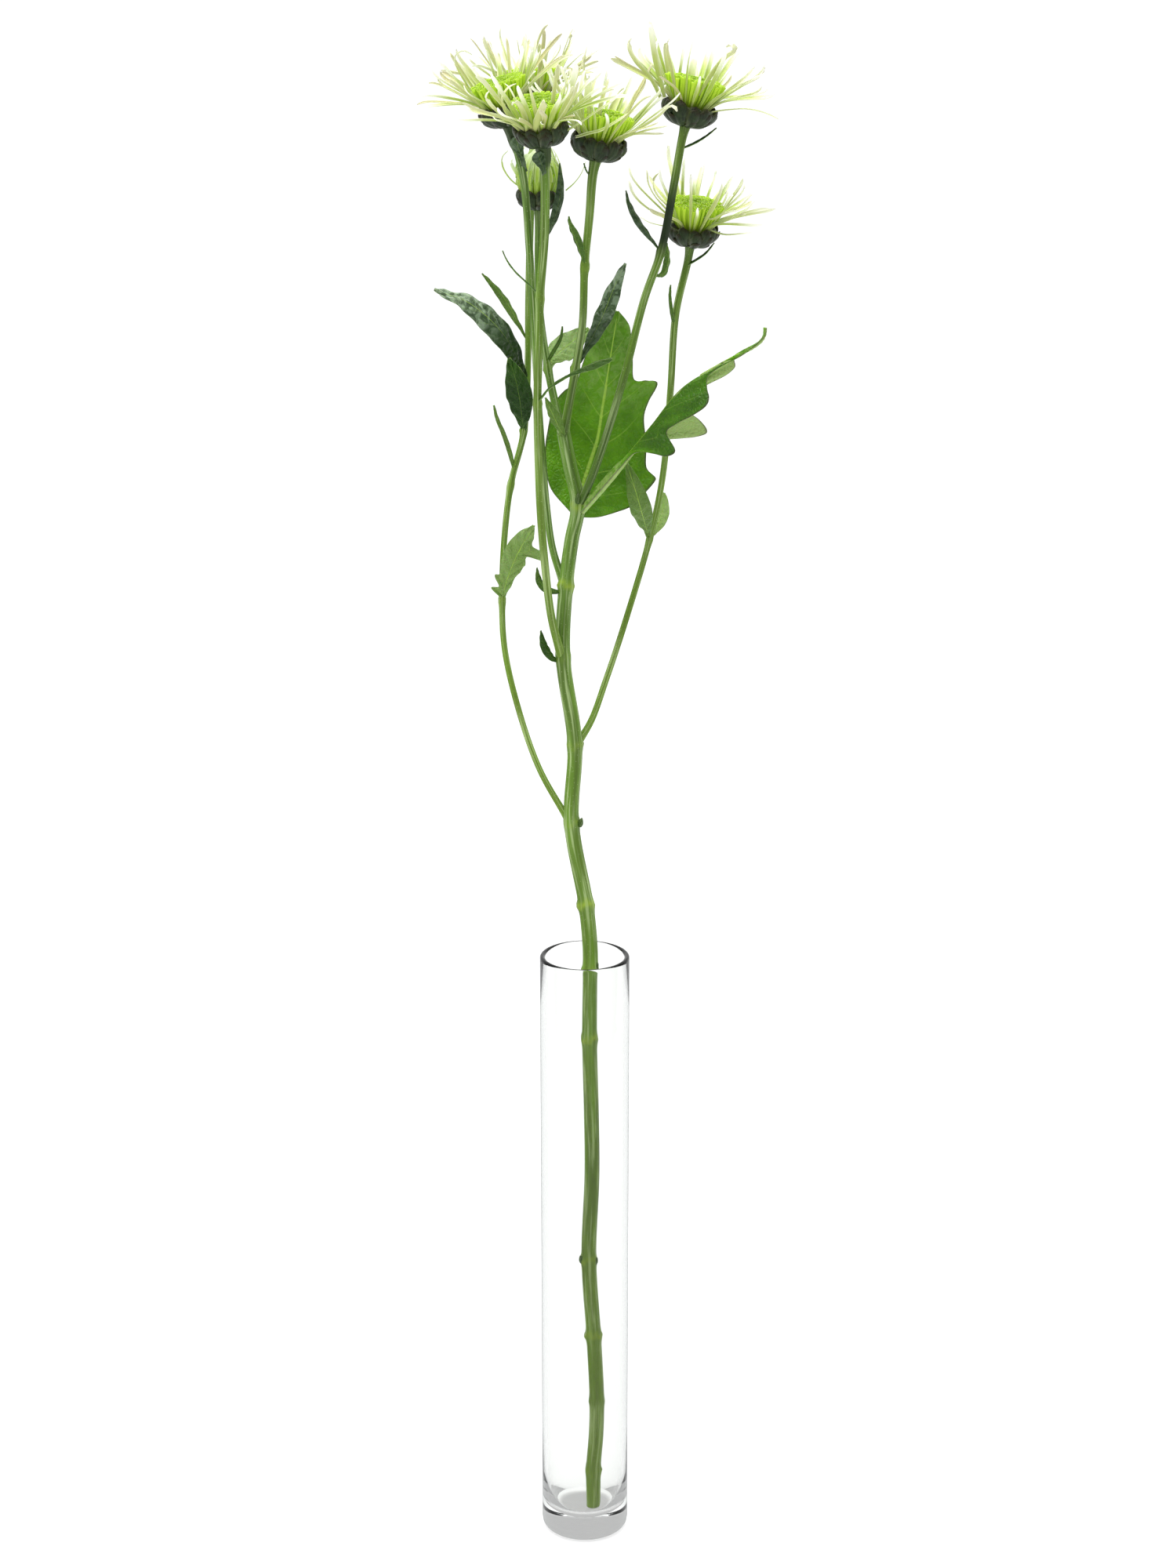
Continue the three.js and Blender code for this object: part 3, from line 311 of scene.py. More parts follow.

# Stretches of painted shade on the stalks: how dark, where each starts and is full, where it fades and
# ends, and whether it comes in streaks. Places are heights in millimetres on the main stem, and on a
# shoot shares of the way up from its foot.
FROM_FOOT = (-2, -1)
SHADED_STRETCHES = {
    "main_stem": ((0.25, (120, 134), (158, 176), True),),
    "shoot_e": ((0.45, FROM_FOOT, (0.35, 0.6), True),),
    "shoot_f": ((1, (0.64, 0.72), (0.78, 0.92), False), (0.35, FROM_FOOT, (0.2, 0.4), False)),
}

# Flower heads: top of the stalk, lean to the right and towards the viewer in degrees, size, open or not,
# seed, and the width of the florets in front of the disc as a share of the rest. Back is how far behind the
# disc, from -1 to 1, the extra florets go. Bare is a place without random florets: its middle turn, its
# reach to each side, and its lowest and highest rise, in degrees.
HEADS = {
    "a": {
        "at": (-27.5, 23.5, 566), "lean": (-17, 5), "size": 1, "open": 1, "seed": 17, "front": 0.7,
        "bare": (-92, 33, 40, 90),
    },
    "b": {
        "at": (-15, 0.5, 560.5), "lean": (-6, 13), "size": 1, "open": 1, "seed": 29, "front": 0.9,
        "back": 0.2, "bare": (114, 52, 0, 90),
    },
    "c": {"at": (-20, 61, 567), "lean": (-4, -7), "size": 1, "open": 1, "seed": 43, "front": 0.6},
    "d": {"at": (-17.4, 46, 533), "lean": (1, -2), "size": 0.86, "open": 0, "seed": 59, "front": 1},
    "e": {
        "at": (4.2, 22, 553.5), "lean": (11, 4), "size": 1.04, "open": 1, "seed": 71, "front": 0.55,
        "bare": (-2, 26, 0, 38),
    },
    "f": {"at": (37.4, 32, 565), "lean": (13, 0), "size": 1.05, "open": 1, "seed": 83, "front": 0.5},
    "g": {
        "at": (40.6, 61.5, 518), "lean": (7, 9), "size": 1.03, "open": 1, "seed": 97, "front": 0.5,
        "bare": (180, 42, 0, 90),
    },
}

# Ray florets drawn one by one where the photograph shows them apart: width and points, in millimetres.
DRAWN_RAYS = {
    "a": (
        (1.5, ((-38.2, 20, 571.3), (-42.4, 18, 579.2), (-46.5, 16, 587.1), (-46.7, 16, 590.7),
               (-43.8, 16, 592.3), (-40.8, 17, 590.9))),
    ),
    "b": (
        (2.9, ((-20.6, -7, 564.9), (-21.4, -13, 570.8), (-22.7, -16, 574.6), (-24.5, -18, 576.3),
               (-25.6, -18, 575.4))),
        (3.2, ((-18.3, -7, 564.4), (-16.8, -13, 568.9), (-15.3, -17, 572.9), (-14.2, -19, 576.1),
               (-14.4, -19, 577.4))),
        (2.6, ((-23.5, -6, 565.7), (-26.6, -10, 568.7), (-30.2, -14, 572.2), (-33.3, -17, 575.6),
               (-34.6, -18, 578.3), (-33.7, -18, 580.1))),
        (2.5, ((-25.3, -6, 568.1), (-28.5, -9, 572.9), (-29, -11, 576.9), (-27.9, -12, 579.7),
               (-25.9, -13, 581.6), (-24.1, -13, 582.5))),
        (2.2, ((-21.7, -7, 565.8), (-25.7, -12, 568.9), (-32.9, -17, 571.9), (-40.1, -20, 574.8),
               (-42.8, -21, 576.4))),
        (2.4, ((-11.6, -6, 564.5), (-9.3, -11, 568.4), (-6.5, -14, 572.7), (-3.4, -16, 578.6),
               (-2, -17, 583.5))),
        (1.7, ((-6.6, -3, 565.1), (-0.9, -7, 568.7), (4.1, -9, 572.4), (10.2, -10, 576.5),
               (14.6, -10, 580.6))),
        (2.4, ((-12.7, -5, 567.5), (-11, -9, 575.4), (-10.1, -10, 582.5), (-9.2, -10, 589))),
        (2.0, ((-11.1, -3, 567.3), (-8.5, -6, 574.1), (-6.8, -7, 580.7), (-5.9, -7, 586.1))),
    ),
    "c": (
        (2.8, ((-22.9, 54, 575.3), (-23.4, 51, 582.9), (-22.7, 50, 591), (-21.5, 51, 597.2))),
        (2.0, ((-16.4, 54.5, 574.7), (-15.7, 52, 581.7), (-14.2, 51, 589.2), (-12.5, 52, 594.8))),
    ),
    "d": (
        (0.9, ((-24, 42, 541), (-28.1, 40, 544.7), (-30.7, 39, 549.4), (-30.6, 39, 552.8),
               (-28.6, 40, 555))),
        (0.9, ((-6.9, 42, 540.1), (-3.7, 40, 543.2), (-1, 39, 547.1), (0.4, 39, 551.1))),
    ),
    "e": (
        (2.6, ((11.8, 16, 559.4), (17.5, 14, 563.3), (24.1, 12, 567.3), (28.3, 12, 570.4),
               (30.2, 12, 572.4), (32.2, 11.4, 572.9), (33.6, 11, 571.3))),
        (1.8, ((-3, 14, 561.9), (1.3, 10, 563.3), (6.1, 8, 564.6), (15.5, 6, 570.3), (21.1, 6, 573.6))),
        (2.2, ((-2.1, 15, 563.2), (-3.3, 13, 571.2), (-4.4, 13, 579.5), (-5.2, 14, 586.1))),
        (2.4, ((-0.1, 14.5, 562.7), (-1.3, 12, 571), (-1, 12, 579.6), (0.2, 13, 585.6))),
        (2.0, ((2.2, 14.5, 562.4), (1.6, 12, 569.9), (2.7, 12, 578.2), (4.4, 13, 583.9))),
        (1.8, ((4.4, 15, 562.7), (5.3, 13, 569.8), (7, 13, 577.3), (8.7, 14, 582.5))),
        (1.7, ((-3, 17, 564.2), (-5.5, 15, 570.2), (-8.7, 15, 577.2), (-11.2, 16, 583.2))),
    ),
    "f": (
        (3.4, ((27.8, 28, 574.4), (23.7, 24, 582.2), (18.2, 22, 588.4), (15.9, 22, 593.4),
               (17, 22, 596.5))),
        (2.4, ((42.1, 24, 576), (46.4, 20, 583.5), (51.1, 18, 589.7), (54.8, 18, 592.5), (53.6, 18, 594.2),
               (51.3, 18, 593.6))),
        (0.9, ((46.8, 26, 570), (53.1, 24, 571), (59.6, 22, 571.4), (65.9, 21, 570.1), (71, 20, 567.9))),
        (3.2, ((28.9, 24, 575.5), (26.4, 20, 584.6), (24.6, 17, 593.7), (23.6, 15, 601.6))),
    ),
    "g": (
        (1.9, ((33.6, 56, 526.6), (29.1, 54, 529.3), (24.1, 53, 532.2), (20.1, 53, 535.5),
               (17.8, 54, 538.8), (16.8, 55, 542.6))),
        (1.7, ((33.3, 57, 527.8), (28.6, 57, 532.1), (24.2, 57, 536.3), (20.1, 58, 540.5),
               (17.5, 59, 544.4), (16.8, 60, 547.7))),
        (2.0, ((33.7, 60, 528.7), (29.6, 62, 532.8), (26.2, 63, 537), (24.2, 64, 541.2),
               (23.8, 64, 545.8))),
        (2.2, ((34.3, 62, 528.8), (31.3, 65, 532.5), (27.8, 67, 536), (26.3, 68, 539.3), (26.8, 69, 542),
               (28.3, 69, 544.1))),
        (0.8, ((32.6, 55, 525.2), (28.2, 52, 526.3), (24.1, 50, 527.7), (21, 50, 529.6))),
        (2.0, ((46.6, 56, 527.2), (51.8, 53, 529.7), (57, 52, 531.9), (60.9, 52, 534.7),
               (63.6, 53, 537.8))),
        (1.5, ((47.2, 55, 526.1), (53.2, 51, 527.6), (58.1, 49, 530.1), (62.3, 48, 533.3),
               (64.4, 48, 535.7))),
        (1.1, ((47.3, 56, 523.9), (53.4, 52, 522.6), (58.8, 50, 523.1), (63.6, 49, 523.7))),
        (1.7, ((46.8, 60, 527.8), (51.1, 59, 531.1), (53.6, 59, 534.6), (54.8, 60, 538.2))),
        (1.8, ((45, 54, 528.7), (48.9, 50, 528.5), (53.6, 47, 531.2), (58.5, 46, 532.4))),
    ),
}

# Blade outlines: rows of rib, left along, left out, right along, right out, or of along and out alone where
# both sides are the same. Rib and along run from 0 to 1, and out is a share of the leaf's half width.
OUTLINES = {
    "lance": (
        (0, 0.2), (0.14, 0.34), (0.3, 0.72), (0.5, 1), (0.68, 0.92), (0.83, 0.62), (0.93, 0.34), (1, 0.08),
    ),
    "spoon": ((0, 0.4), (0.25, 0.34), (0.5, 0.42), (0.68, 0.75), (0.84, 1), (0.95, 0.72), (1, 0.3)),
    "sliver": ((0, 0.7), (0.3, 1), (0.6, 0.9), (0.85, 0.65), (1, 0.3)),
    "toothed": (
        (0, 0, 0.12, 0, 0.12), (0.06, 0.05, 0.2, 0.05, 0.16), (0.12, 0.16, 0.95, 0.14, 0.3),
        (0.17, 0.18, 0.42, 0.2, 0.4), (0.26, 0.31, 0.92, 0.3, 0.52), (0.33, 0.34, 0.6, 0.4, 0.68),
        (0.5, 0.5, 0.85, 0.52, 0.85), (0.62, 0.62, 0.93, 0.63, 0.75), (0.66, 0.66, 0.92, 0.66, 1.9),
        (0.7, 0.7, 0.9, 0.76, 1.8), (0.75, 0.75, 0.84, 0.78, 0.7), (0.87, 0.87, 0.62, 0.87, 0.46),
        (1, 1, 0.06, 1, 0.06),
    ),
    "broad": (
        (0, 0, 0.04, 0, 0.06), (0.04, 0.05, 0.2, 0.03, 0.34), (0.09, 0.12, 0.42, 0.1, 0.62),
        (0.15, 0.19, 0.55, 0.17, 0.82), (0.22, 0.26, 0.65, 0.25, 0.92), (0.3, 0.34, 0.71, 0.33, 1),
        (0.35, 0.4, 0.74, 0.36, 0.8), (0.43, 0.48, 0.73, 0.44, 0.7), (0.5, 0.55, 0.67, 0.53, 0.63),
        (0.56, 0.6, 0.57, 0.61, 0.66), (0.62, 0.622, 0.46, 0.7, 0.74), (0.67, 0.66, 0.41, 0.69, 0.47),
        (0.72, 0.73, 0.38, 0.71, 0.37), (0.8, 0.81, 0.33, 0.8, 0.32), (0.89, 0.89, 0.26, 0.89, 0.25),
        (0.95, 0.95, 0.16, 0.95, 0.18), (1, 1, 0.02, 1, 0.02),
    ),
    "lobed": (
        (0, 0, 0.12, 0, 0.12), (0.15, 0.15, 0.1, 0.15, 0.1), (0.295, 0.295, 0.1, 0.295, 0.1),
        (0.33, 0.33, 0.2, 0.347, 0.23), (0.36, 0.37, 0.3, 0.389, 0.55), (0.39, 0.41, 0.42, 0.425, 0.86),
        (0.42, 0.448, 0.74, 0.463, 0.92), (0.45, 0.483, 1.01, 0.474, 0.44), (0.48, 0.517, 1.18, 0.521, 0.52),
        (0.525, 0.545, 0.85, 0.585, 0.74), (0.56, 0.56, 0.5, 0.64, 0.84), (0.595, 0.6, 0.24, 0.675, 0.78),
        (0.63, 0.67, 0.32, 0.7, 0.6), (0.68, 0.76, 0.34, 0.712, 0.36), (0.73, 0.82, 0.24, 0.732, 0.14),
        (0.79, 0.835, 0.09, 0.79, 0.07), (0.85, 0.855, 0.05, 0.85, 0.05), (0.94, 0.94, 0.035, 0.94, 0.035),
        (1, 1, 0.02, 1, 0.02),
    ),
}

# Leaves: rib from the stalk outwards, half width, the way the upper face looks, the fold of its halves in
# degrees, and its tone: 0 is dark, 0.5 is vivid and 1 is pale, but on glossy blades a higher tone is painted
# reflection and on backlit blades tone above 0.5 is painted sheen. Where the tip has its own tone, a painted
# highlight, the blade changes to it on the way. Slivers belong to the stalk that they grow from.
LEAVES = {
    "leaf_main_broad": {
        "outline": "broad", "half": 27, "face": (0.1, -1, 0.3), "fold": (9, 9),
        "tone": 0.46, "tip_highlight_tone": 0.7,
        "rib": ((-3.6, 25.4, 419.5), (-1.4, 33, 428), (1.9, 38, 437.5), (4.9, 41, 446), (7.3, 44, 460.8),
                (12.7, 46, 494.4)),
    },
    "leaf_main_lobed": {
        "outline": "lobed", "half": 17.5, "face": (-0.5, -0.55, 0.7), "fold": (100, 14), "tone": 0.14,
        "rib": ((-2.4, 24.4, 421.5), (7.2, 17, 433.9), (16, 13, 445.2), (25.3, 9, 457.7), (35.6, 5, 471.3),
                (50.3, 0, 481.6), (63, -4, 489.4), (65.4, -5, 492.4), (65.7, -5, 495.3)),
    },
    "leaf_low_hook": {
        "outline": "lance", "half": 1.6, "face": (0.4, -0.8, 0.4), "fold": (16, 16), "tone": 0.25,
        "rib": ((-7.2, 22, 390.5), (-11, 20, 390.8), (-14.6, 19.4, 392), (-17.2, 19.2, 395),
                (-18.2, 19.2, 400.4)),
    },
    "leaf_low_dark": {
        "outline": "lance", "half": 1.8, "face": (0.5, -0.8, 0.3), "fold": (14, 14), "tone": 0.05,
        "rib": ((-8.6, 20.4, 362.5), (-12.6, 17.6, 365.4), (-15.3, 16.2, 370), (-16.2, 15.8, 373.3),
                (-16.7, 15.8, 376.5)),
    },
    "sheath_a": {
        "outline": "spoon", "half": 2.7, "face": (0, -1, 0.1), "fold": (18, 18), "tone": 0.15,
        "rib": ((-22, 24.6, 548.5), (-22.8, 22.2, 553), (-24.2, 20.9, 557.5), (-25.4, 20, 561.5)),
    },
    "leaf_b_right": {
        "outline": "spoon", "half": 2.6, "face": (-0.25, -0.45, 0.85), "fold": (30, 26), "tone": 0.26,
        "rib": ((-17.2, 4.3, 467), (-13.1, -1, 472.8), (-5.9, -4, 478), (-0.1, -6, 481), (5.6, -8, 483.6),
                (9.9, -8.6, 484.7)),
    },
    "sliver_b_left": {
        "outline": "sliver", "half": 0.9, "face": (0.5, 0, 0.8), "fold": (20, 20), "tone": 0.2,
        "rib": ((-16.3, 4, 506), (-20.6, 6, 510), (-25.6, 8, 514.5), (-28.6, 9.5, 518.5), (-30, 10, 521.5)),
    },
    "sheath_b": {
        "outline": "spoon", "half": 2.7, "face": (0.2, -1, 0), "fold": (20, 20), "tone": 0.12,
        "rib": ((-14, 2.8, 546.5), (-14.6, -0.2, 551), (-15.8, -1.9, 554.6), (-16.9, -3.2, 557.8)),
    },
    "leaf_c_low": {
        "outline": "toothed", "half": 5.6, "face": (0.2, -1, 0.2), "fold": (8, 8), "tone": 0.8,
        "rib": ((-32.2, 44, 381.5), (-30.8, 41, 389), (-28.6, 39, 395.7), (-25.4, 37.8, 403),
                (-19.6, 36.5, 413)),
    },
    "sliver_c_low": {
        "outline": "sliver", "half": 1.1, "face": (0.3, -0.7, 0.5), "fold": (15, 15), "tone": 0.6,
        "rib": ((-27.6, 52.8, 433), (-29.5, 50.5, 441), (-31.4, 49, 447), (-33.8, 48, 453), (-35, 48, 458)),
    },
    "leaf_c_dark": {
        "outline": "lance", "half": 5.2, "face": (-0.15, -1, 0.1), "fold": (12, 12), "tone": 0.03,
        "rib": ((-23.8, 55.4, 446.5), (-24.2, 50.5, 452), (-25, 47.5, 460), (-26.6, 45.8, 468.5),
                (-29, 44.8, 476.5)),
    },
    "leaf_c_long": {
        "outline": "lance", "half": 5.4, "face": (-0.1, -0.7, 0.75), "fold": (14, 14),
        "tone": 0.0, "tip_highlight_tone": 0.7,
        "rib": ((-22.4, 58, 464), (-25.4, 53, 474), (-30.3, 48, 484.3), (-37.5, 44, 493),
                (-45.7, 40.5, 499.4), (-52.1, 38, 502), (-56.6, 37, 504)),
    },
    "leaf_c_slim": {
        "outline": "lance", "half": 2, "face": (0.3, -0.8, 0.6), "fold": (24, 24), "tone": 0.55,
        "rib": ((-21.9, 60, 481), (-25.6, 57, 488.5), (-30.6, 52.5, 498), (-35, 49.5, 504),
                (-39, 48, 508.5)),
    },
    "leaf_d_broad": {
        "outline": "lance", "half": 5.4, "face": (-0.2, -1, 0.3), "fold": (6, 6), "tone": 0.88,
        "rib": ((-14, 37, 473.5), (-12, 42, 477), (-8.6, 47.5, 479.5), (-4.4, 51, 482.5), (1.5, 53.5, 487)),
    },
    "sliver_d": {
        "outline": "sliver", "half": 0.8, "face": (0.4, -0.8, 0.4), "fold": (10, 10), "tone": 0.3,
        "rib": ((-14.4, 37.6, 476), (-11.6, 34.8, 481), (-9, 33.2, 486), (-8.3, 32.8, 490.5)),
    },
    "leaf_d_top": {
        "outline": "lance", "half": 1.9, "face": (0.4, -0.9, 0.1), "fold": (18, 18), "tone": 0.1,
        "rib": ((-17.6, 45.4, 519), (-14, 43.2, 524), (-11, 40.6, 531), (-9, 38.6, 540), (-9.2, 38, 550.5)),
    },
    "leaf_fork": {
        "outline": "lance", "half": 2.4, "face": (-0.5, -0.9, 0.2), "fold": (16, 16), "tone": 0.5,
        "rib": ((-7, 26.6, 449), (-9.4, 22.4, 453.4), (-12, 20.6, 459.2), (-14.8, 19.6, 465.5)),
    },
    "leaf_e_low": {
        "outline": "lance", "half": 4, "face": (-0.5, -0.8, 0.35), "fold": (12, 12),
        "tone": 0.1, "tip_highlight_tone": 0.4,
        "rib": ((-2.9, 25.2, 477), (2.9, 28, 487), (7.2, 31.5, 495.5), (10.7, 33.5, 504),
                (15.2, 34.5, 514)),
    },
    "leaf_e_high": {
        "outline": "lance", "half": 2.1, "face": (-0.6, -0.7, 0.1), "fold": (30, 30), "tone": 0.4,
        "rib": ((0.1, 24, 513), (-1.4, 20.8, 519), (-3.7, 19, 525.6), (-5.6, 18, 530.4), (-5.9, 17.6, 533)),
    },
    "sliver_e_top": {
        "outline": "sliver", "half": 0.8, "face": (-0.8, -0.3, 0.2), "fold": (10, 10), "tone": 0.1,
        "rib": ((2.4, 22.4, 546.5), (0.4, 21.6, 549.5), (-0.3, 21.2, 552)),
    },
    "leaf_f_left": {
        "outline": "lance", "half": 1.8, "face": (0.6, -0.7, 0.4), "fold": (26, 26), "tone": 0.12,
        "rib": ((28.6, 29, 519), (24.6, 26, 524.5), (20, 23.8, 531), (16.6, 22.4, 537.5), (15.4, 22, 542)),
    },
    "leaf_f_right": {
        "outline": "lance", "half": 1.9, "face": (0.7, -0.6, 0.2), "fold": (22, 22), "tone": 0.4,
        "rib": ((26.4, 28, 510), (29.8, 31.6, 510.5), (31.4, 33, 515), (31, 33.6, 521.5)),
    },
    "sliver_f_top": {
        "outline": "sliver", "half": 0.7, "face": (-0.6, -0.4, 0.6), "fold": (10, 10), "tone": 0.0,
        "rib": ((36, 31.8, 556.5), (40.4, 31.6, 558.4), (44.6, 31.4, 560.8), (48.8, 31.2, 564)),
    },
    "leaf_g_left": {
        "outline": "lance", "half": 4.2, "face": (-0.1, -1, 0.15), "fold": (10, 10), "tone": 0.56,
        "rib": ((25.2, 53.4, 405), (23.7, 44.5, 411.4), (21.4, 34, 420.9), (18.7, 31, 430.5),
                (16, 30.5, 438.7)),
    },
    "leaf_g_right": {
        "outline": "lance", "half": 3, "face": (0.1, -1, 0.1), "fold": (10, 10), "tone": 1.0,
        "rib": ((25.8, 54.2, 404.5), (28.6, 58, 408.5), (30.8, 62.4, 413.8), (31.6, 64.4, 420.5)),
    },
    "sliver_g_mid": {
        "outline": "sliver", "half": 0.8, "face": (-0.5, -0.8, 0.2), "fold": (10, 10), "tone": 0.3,
        "rib": ((34.8, 60.8, 486), (33.6, 58.6, 492), (32.8, 57.6, 498.5), (33, 57.2, 503)),
    },
    "sliver_g_top": {
        "outline": "sliver", "half": 0.7, "face": (-0.6, -0.4, 0.6), "fold": (10, 10), "tone": 0.0,
        "rib": ((39.2, 61.4, 510), (42.6, 61.4, 512), (46.4, 61.4, 514.6), (49.8, 61.4, 518.6)),
    },
}

# The lobed leaf's petiole widens to its blade, and its blade narrows to its tail, between these shares of
# its rib.
PETIOLE_TO_BLADE = (0.2, 0.4)
BLADE_TO_TAIL = (0.78, 0.9)

# Blades that light shines through strongly, the tone below which the others are glossy, and dark ones that
# are dull.
BACKLIT_LEAVES = ("leaf_main_broad", "leaf_main_lobed")
GLOSSY_BELOW = 0.2
DULL_LEAVES = ("leaf_c_dark", "leaf_low_dark")

# Dormant buds on the main stem: where each stands and the way it points.
BUDS = (
    ((-1.8, 14.4, 299), (0.25, -0.3, 1)),
    ((4, 1, 117.5), (0.35, -0.3, 1)),
    ((-1.1, 0.6, 118.5), (-0.25, -0.3, 1)),
    ((4.1, 10.2, 240.5), (0.4, -0.3, 1)),
    ((-2.6, 22.6, 425.5), (0.05, -0.15, 1)),
)


def unit(v):
    """Vectors scaled to length 1."""
    v = np.asarray(v, float)
    return v / np.linalg.norm(v, axis=-1, keepdims=True)


def smoothstep(low, high, x):
    """Rises softly from 0 to 1 while x goes from low to high."""
    t = np.clip((x - low) / (high - low), 0, 1)
    return t * t * (3 - 2 * t)


def there_and_back(across):
    """Places across a blade: over its upper face, back along its lower one, and the first once more."""
    return np.concatenate([across, across[::-1], across[:1]])


class Draws:
    """Repeatable draws between two limits, from a generator that multiplies and adds within its range."""

    FACTOR = 1664525
    ADDEND = 1013904223
    RANGE = 2**32

    def __init__(self, seed):
        self.state = seed * 7919
        for _ in range(4):
            self.draw(0, 1)

    def draw(self, low, high):
        self.state = (self.state * self.FACTOR + self.ADDEND) % self.RANGE
        return low + (high - low) * self.state / self.RANGE


class Route:
    """A smooth line through given points, read by its share of the way from start to end."""

    STEPS = 24
    FEELER = 0.6

    def __init__(self, points):
        p = np.array(points, float)
        p = np.vstack([2 * p[0] - p[1], p, 2 * p[-1] - p[-2]])
        t = np.linspace(0, 1, self.STEPS, endpoint=False)[:, None]
        spans = []
        for k in range(len(points) - 1):
            p0, p1, p2, p3 = p[k:k + 4]
            d0, d1, d2 = (np.sqrt(np.linalg.norm(b - a)) for a, b in ((p0, p1), (p1, p2), (p2, p3)))
            m1 = ((p1 - p0) / d0 - (p2 - p0) / (d0 + d1) + (p2 - p1) / d1) * d1
            m2 = ((p2 - p1) / d1 - (p3 - p1) / (d1 + d2) + (p3 - p2) / d2) * d1
            curl = -3 * p1 + 3 * p2 - 2 * m1 - m2
            spans.append(p1 + m1 * t + curl * t**2 + (2 * p1 - 2 * p2 + m1 + m2) * t**3)
        spans.append(p[-2:-1])
        self.line = np.vstack(spans)
        self.run = np.concatenate([[0], np.cumsum(np.linalg.norm(np.diff(self.line, axis=0), axis=1))])
        self.length = self.run[-1]

    def at(self, share):
        """Points at the given shares."""
        d = np.asarray(share, float) * self.length
        return np.stack([np.interp(d, self.run, self.line[:, k]) for k in range(3)], axis=-1)

    def along(self, share):
        """Directions at the given shares."""
        share = np.asarray(share, float)
        reach = self.FEELER / self.length
        return unit(self.at(np.minimum(share + reach, 1)) - self.at(np.maximum(share - reach, 0)))

    def share_of_point(self, k):
        """The share at which the route passes its k-th point."""
        return self.run[k * self.STEPS] / self.length


class Mould:
    """Gathers closed forms, each a skin over rings of points, into one mesh with two UV layers: form holds
    across and along, and draw holds two numbers of the form's own."""

    def __init__(self):
        self.points, self.faces, self.form, self.draw = [], [], [], []
        self.count = 0

    def skin(self, rings, across=None, along=None, draw=(0, 0)):
        """Adds one form: faces between its rings and a face over each end."""
        rings = np.asarray(rings, float)
        rows, columns, _ = rings.shape
        across = np.linspace(0, 1, columns + 1) if across is None else np.asarray(across, float)
        along = np.linspace(0, 1, rows) if along is None else np.asarray(along, float)
        draw = np.broadcast_to(np.asarray(draw, float), (rows, columns + 1, 2))
        i, j = np.meshgrid(np.arange(rows - 1), np.arange(columns), indexing="ij")
        i, j = i.ravel(), j.ravel()
        corners = ((i, j), (i, j + 1), (i + 1, j + 1), (i + 1, j))
        faces = np.stack([self.count + a * columns + b % columns for a, b in corners], axis=1)
        self.faces.extend(faces.tolist())
        self.form.append(np.stack([np.stack([across[b], along[a]], 1) for a, b in corners], 1).reshape(-1, 2))
        self.draw.append(np.stack([draw[a, b] for a, b in corners], 1).reshape(-1, 2))
        ends = ((range(columns - 1, -1, -1), 0), (range(columns), rows - 1))
        for order, row in ends:
            self.faces.append([self.count + row * columns + k for k in order])
            self.form.append(np.array([(across[k], along[row]) for k in order]))
            self.draw.append(np.array([draw[row, k] for k in order]))
        self.points.append(rings.reshape(-1, 3))
        self.count += rows * columns

    def cast(self, name, material):
        """Makes the piece of all that was gathered."""
        mesh = bpy.data.meshes.new(name)
        mesh.from_pydata((np.vstack(self.points) * MM).tolist(), [], self.faces)
        for layer, values in (("form", self.form), ("draw", self.draw)):
            flat = np.vstack(values).astype(np.float32).ravel()
            mesh.uv_layers.new(name=layer).data.foreach_set("uv", flat)
        shape = bmesh.new()
        shape.from_mesh(mesh)
        bmesh.ops.recalc_face_normals(shape, faces=shape.faces)
        shape.to_mesh(mesh)
        shape.free()
        mesh.polygons.foreach_set("use_smooth", [True] * len(mesh.polygons))
        mesh.materials.append(material)
        piece = bpy.data.objects.new(name, mesh)
        bpy.context.scene.collection.objects.link(piece)
        return piece


def place(piece, slot, *nodes):
    """Ties a piece to the frame: its body and the nodes that it replaces. Its slot is not used."""
    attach(piece, "root")
    if nodes:
        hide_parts(*nodes)


# Shader building


def new_material(name):
    """A material, its tree of nodes and its shader."""
    material = bpy.data.materials.new(name)
    material.use_nodes = True
    tree = material.node_tree
    return material, tree, tree.nodes["Principled BSDF"]


def feed(tree, socket, value):
    """Links a socket to another node's output, or sets it to a number, a colour or a place."""
    if isinstance(value, bpy.types.NodeSocket):
        tree.links.new(value, socket)
    elif socket.type == "RGBA":
        socket.default_value = (*value, 1)
    else:
        socket.default_value = value


def node(tree, kind, inputs=None, **settings):
    """A new node, with inputs for its sockets and settings for its own properties."""
    made = tree.nodes.new(kind)
    for key, value in settings.items():
        setattr(made, key, value)
    for key, value in (inputs or {}).items():
        feed(tree, made.inputs[key], value)
    return made


def set_shader(tree, shader, inputs):
    """Links or sets the shader's own sockets."""
    for key, value in inputs.items():
        feed(tree, shader.inputs[key], value)


def add_relief(tree, shader, height, strength, depth):
    """Relief from a height between 0 and 1, as deep as depth in metres."""
    bump = node(tree, "ShaderNodeBump", {"Strength": strength, "Distance": depth, "Height": height})
    tree.links.new(bump.outputs[0], shader.inputs["Normal"])


def maths(tree, operation, a, b=0.0, clamp=False):
    """One step of arithmetic on sockets or numbers."""
    return node(tree, "ShaderNodeMath", {0: a, 1: b}, operation=operation, use_clamp=clamp).outputs[0]


def times(tree, a, b):
    """The product of two sockets or numbers."""
    return maths(tree, "MULTIPLY", a, b)


def off_middle(tree, value, middle=0.5):
    """How far a value is from the middle, to either side."""
    return maths(tree, "ABSOLUTE", maths(tree, "SUBTRACT", value, middle))


def ramp(tree, value, start, end, low=0.0, high=1.0):
    """Goes from low to high while the value goes from start to end, and stays level outside them."""
    limits = {"From Min": start, "From Max": end, "To Min": low, "To Max": high}
    return node(tree, "ShaderNodeMapRange", {"Value": value, **limits}).outputs[0]


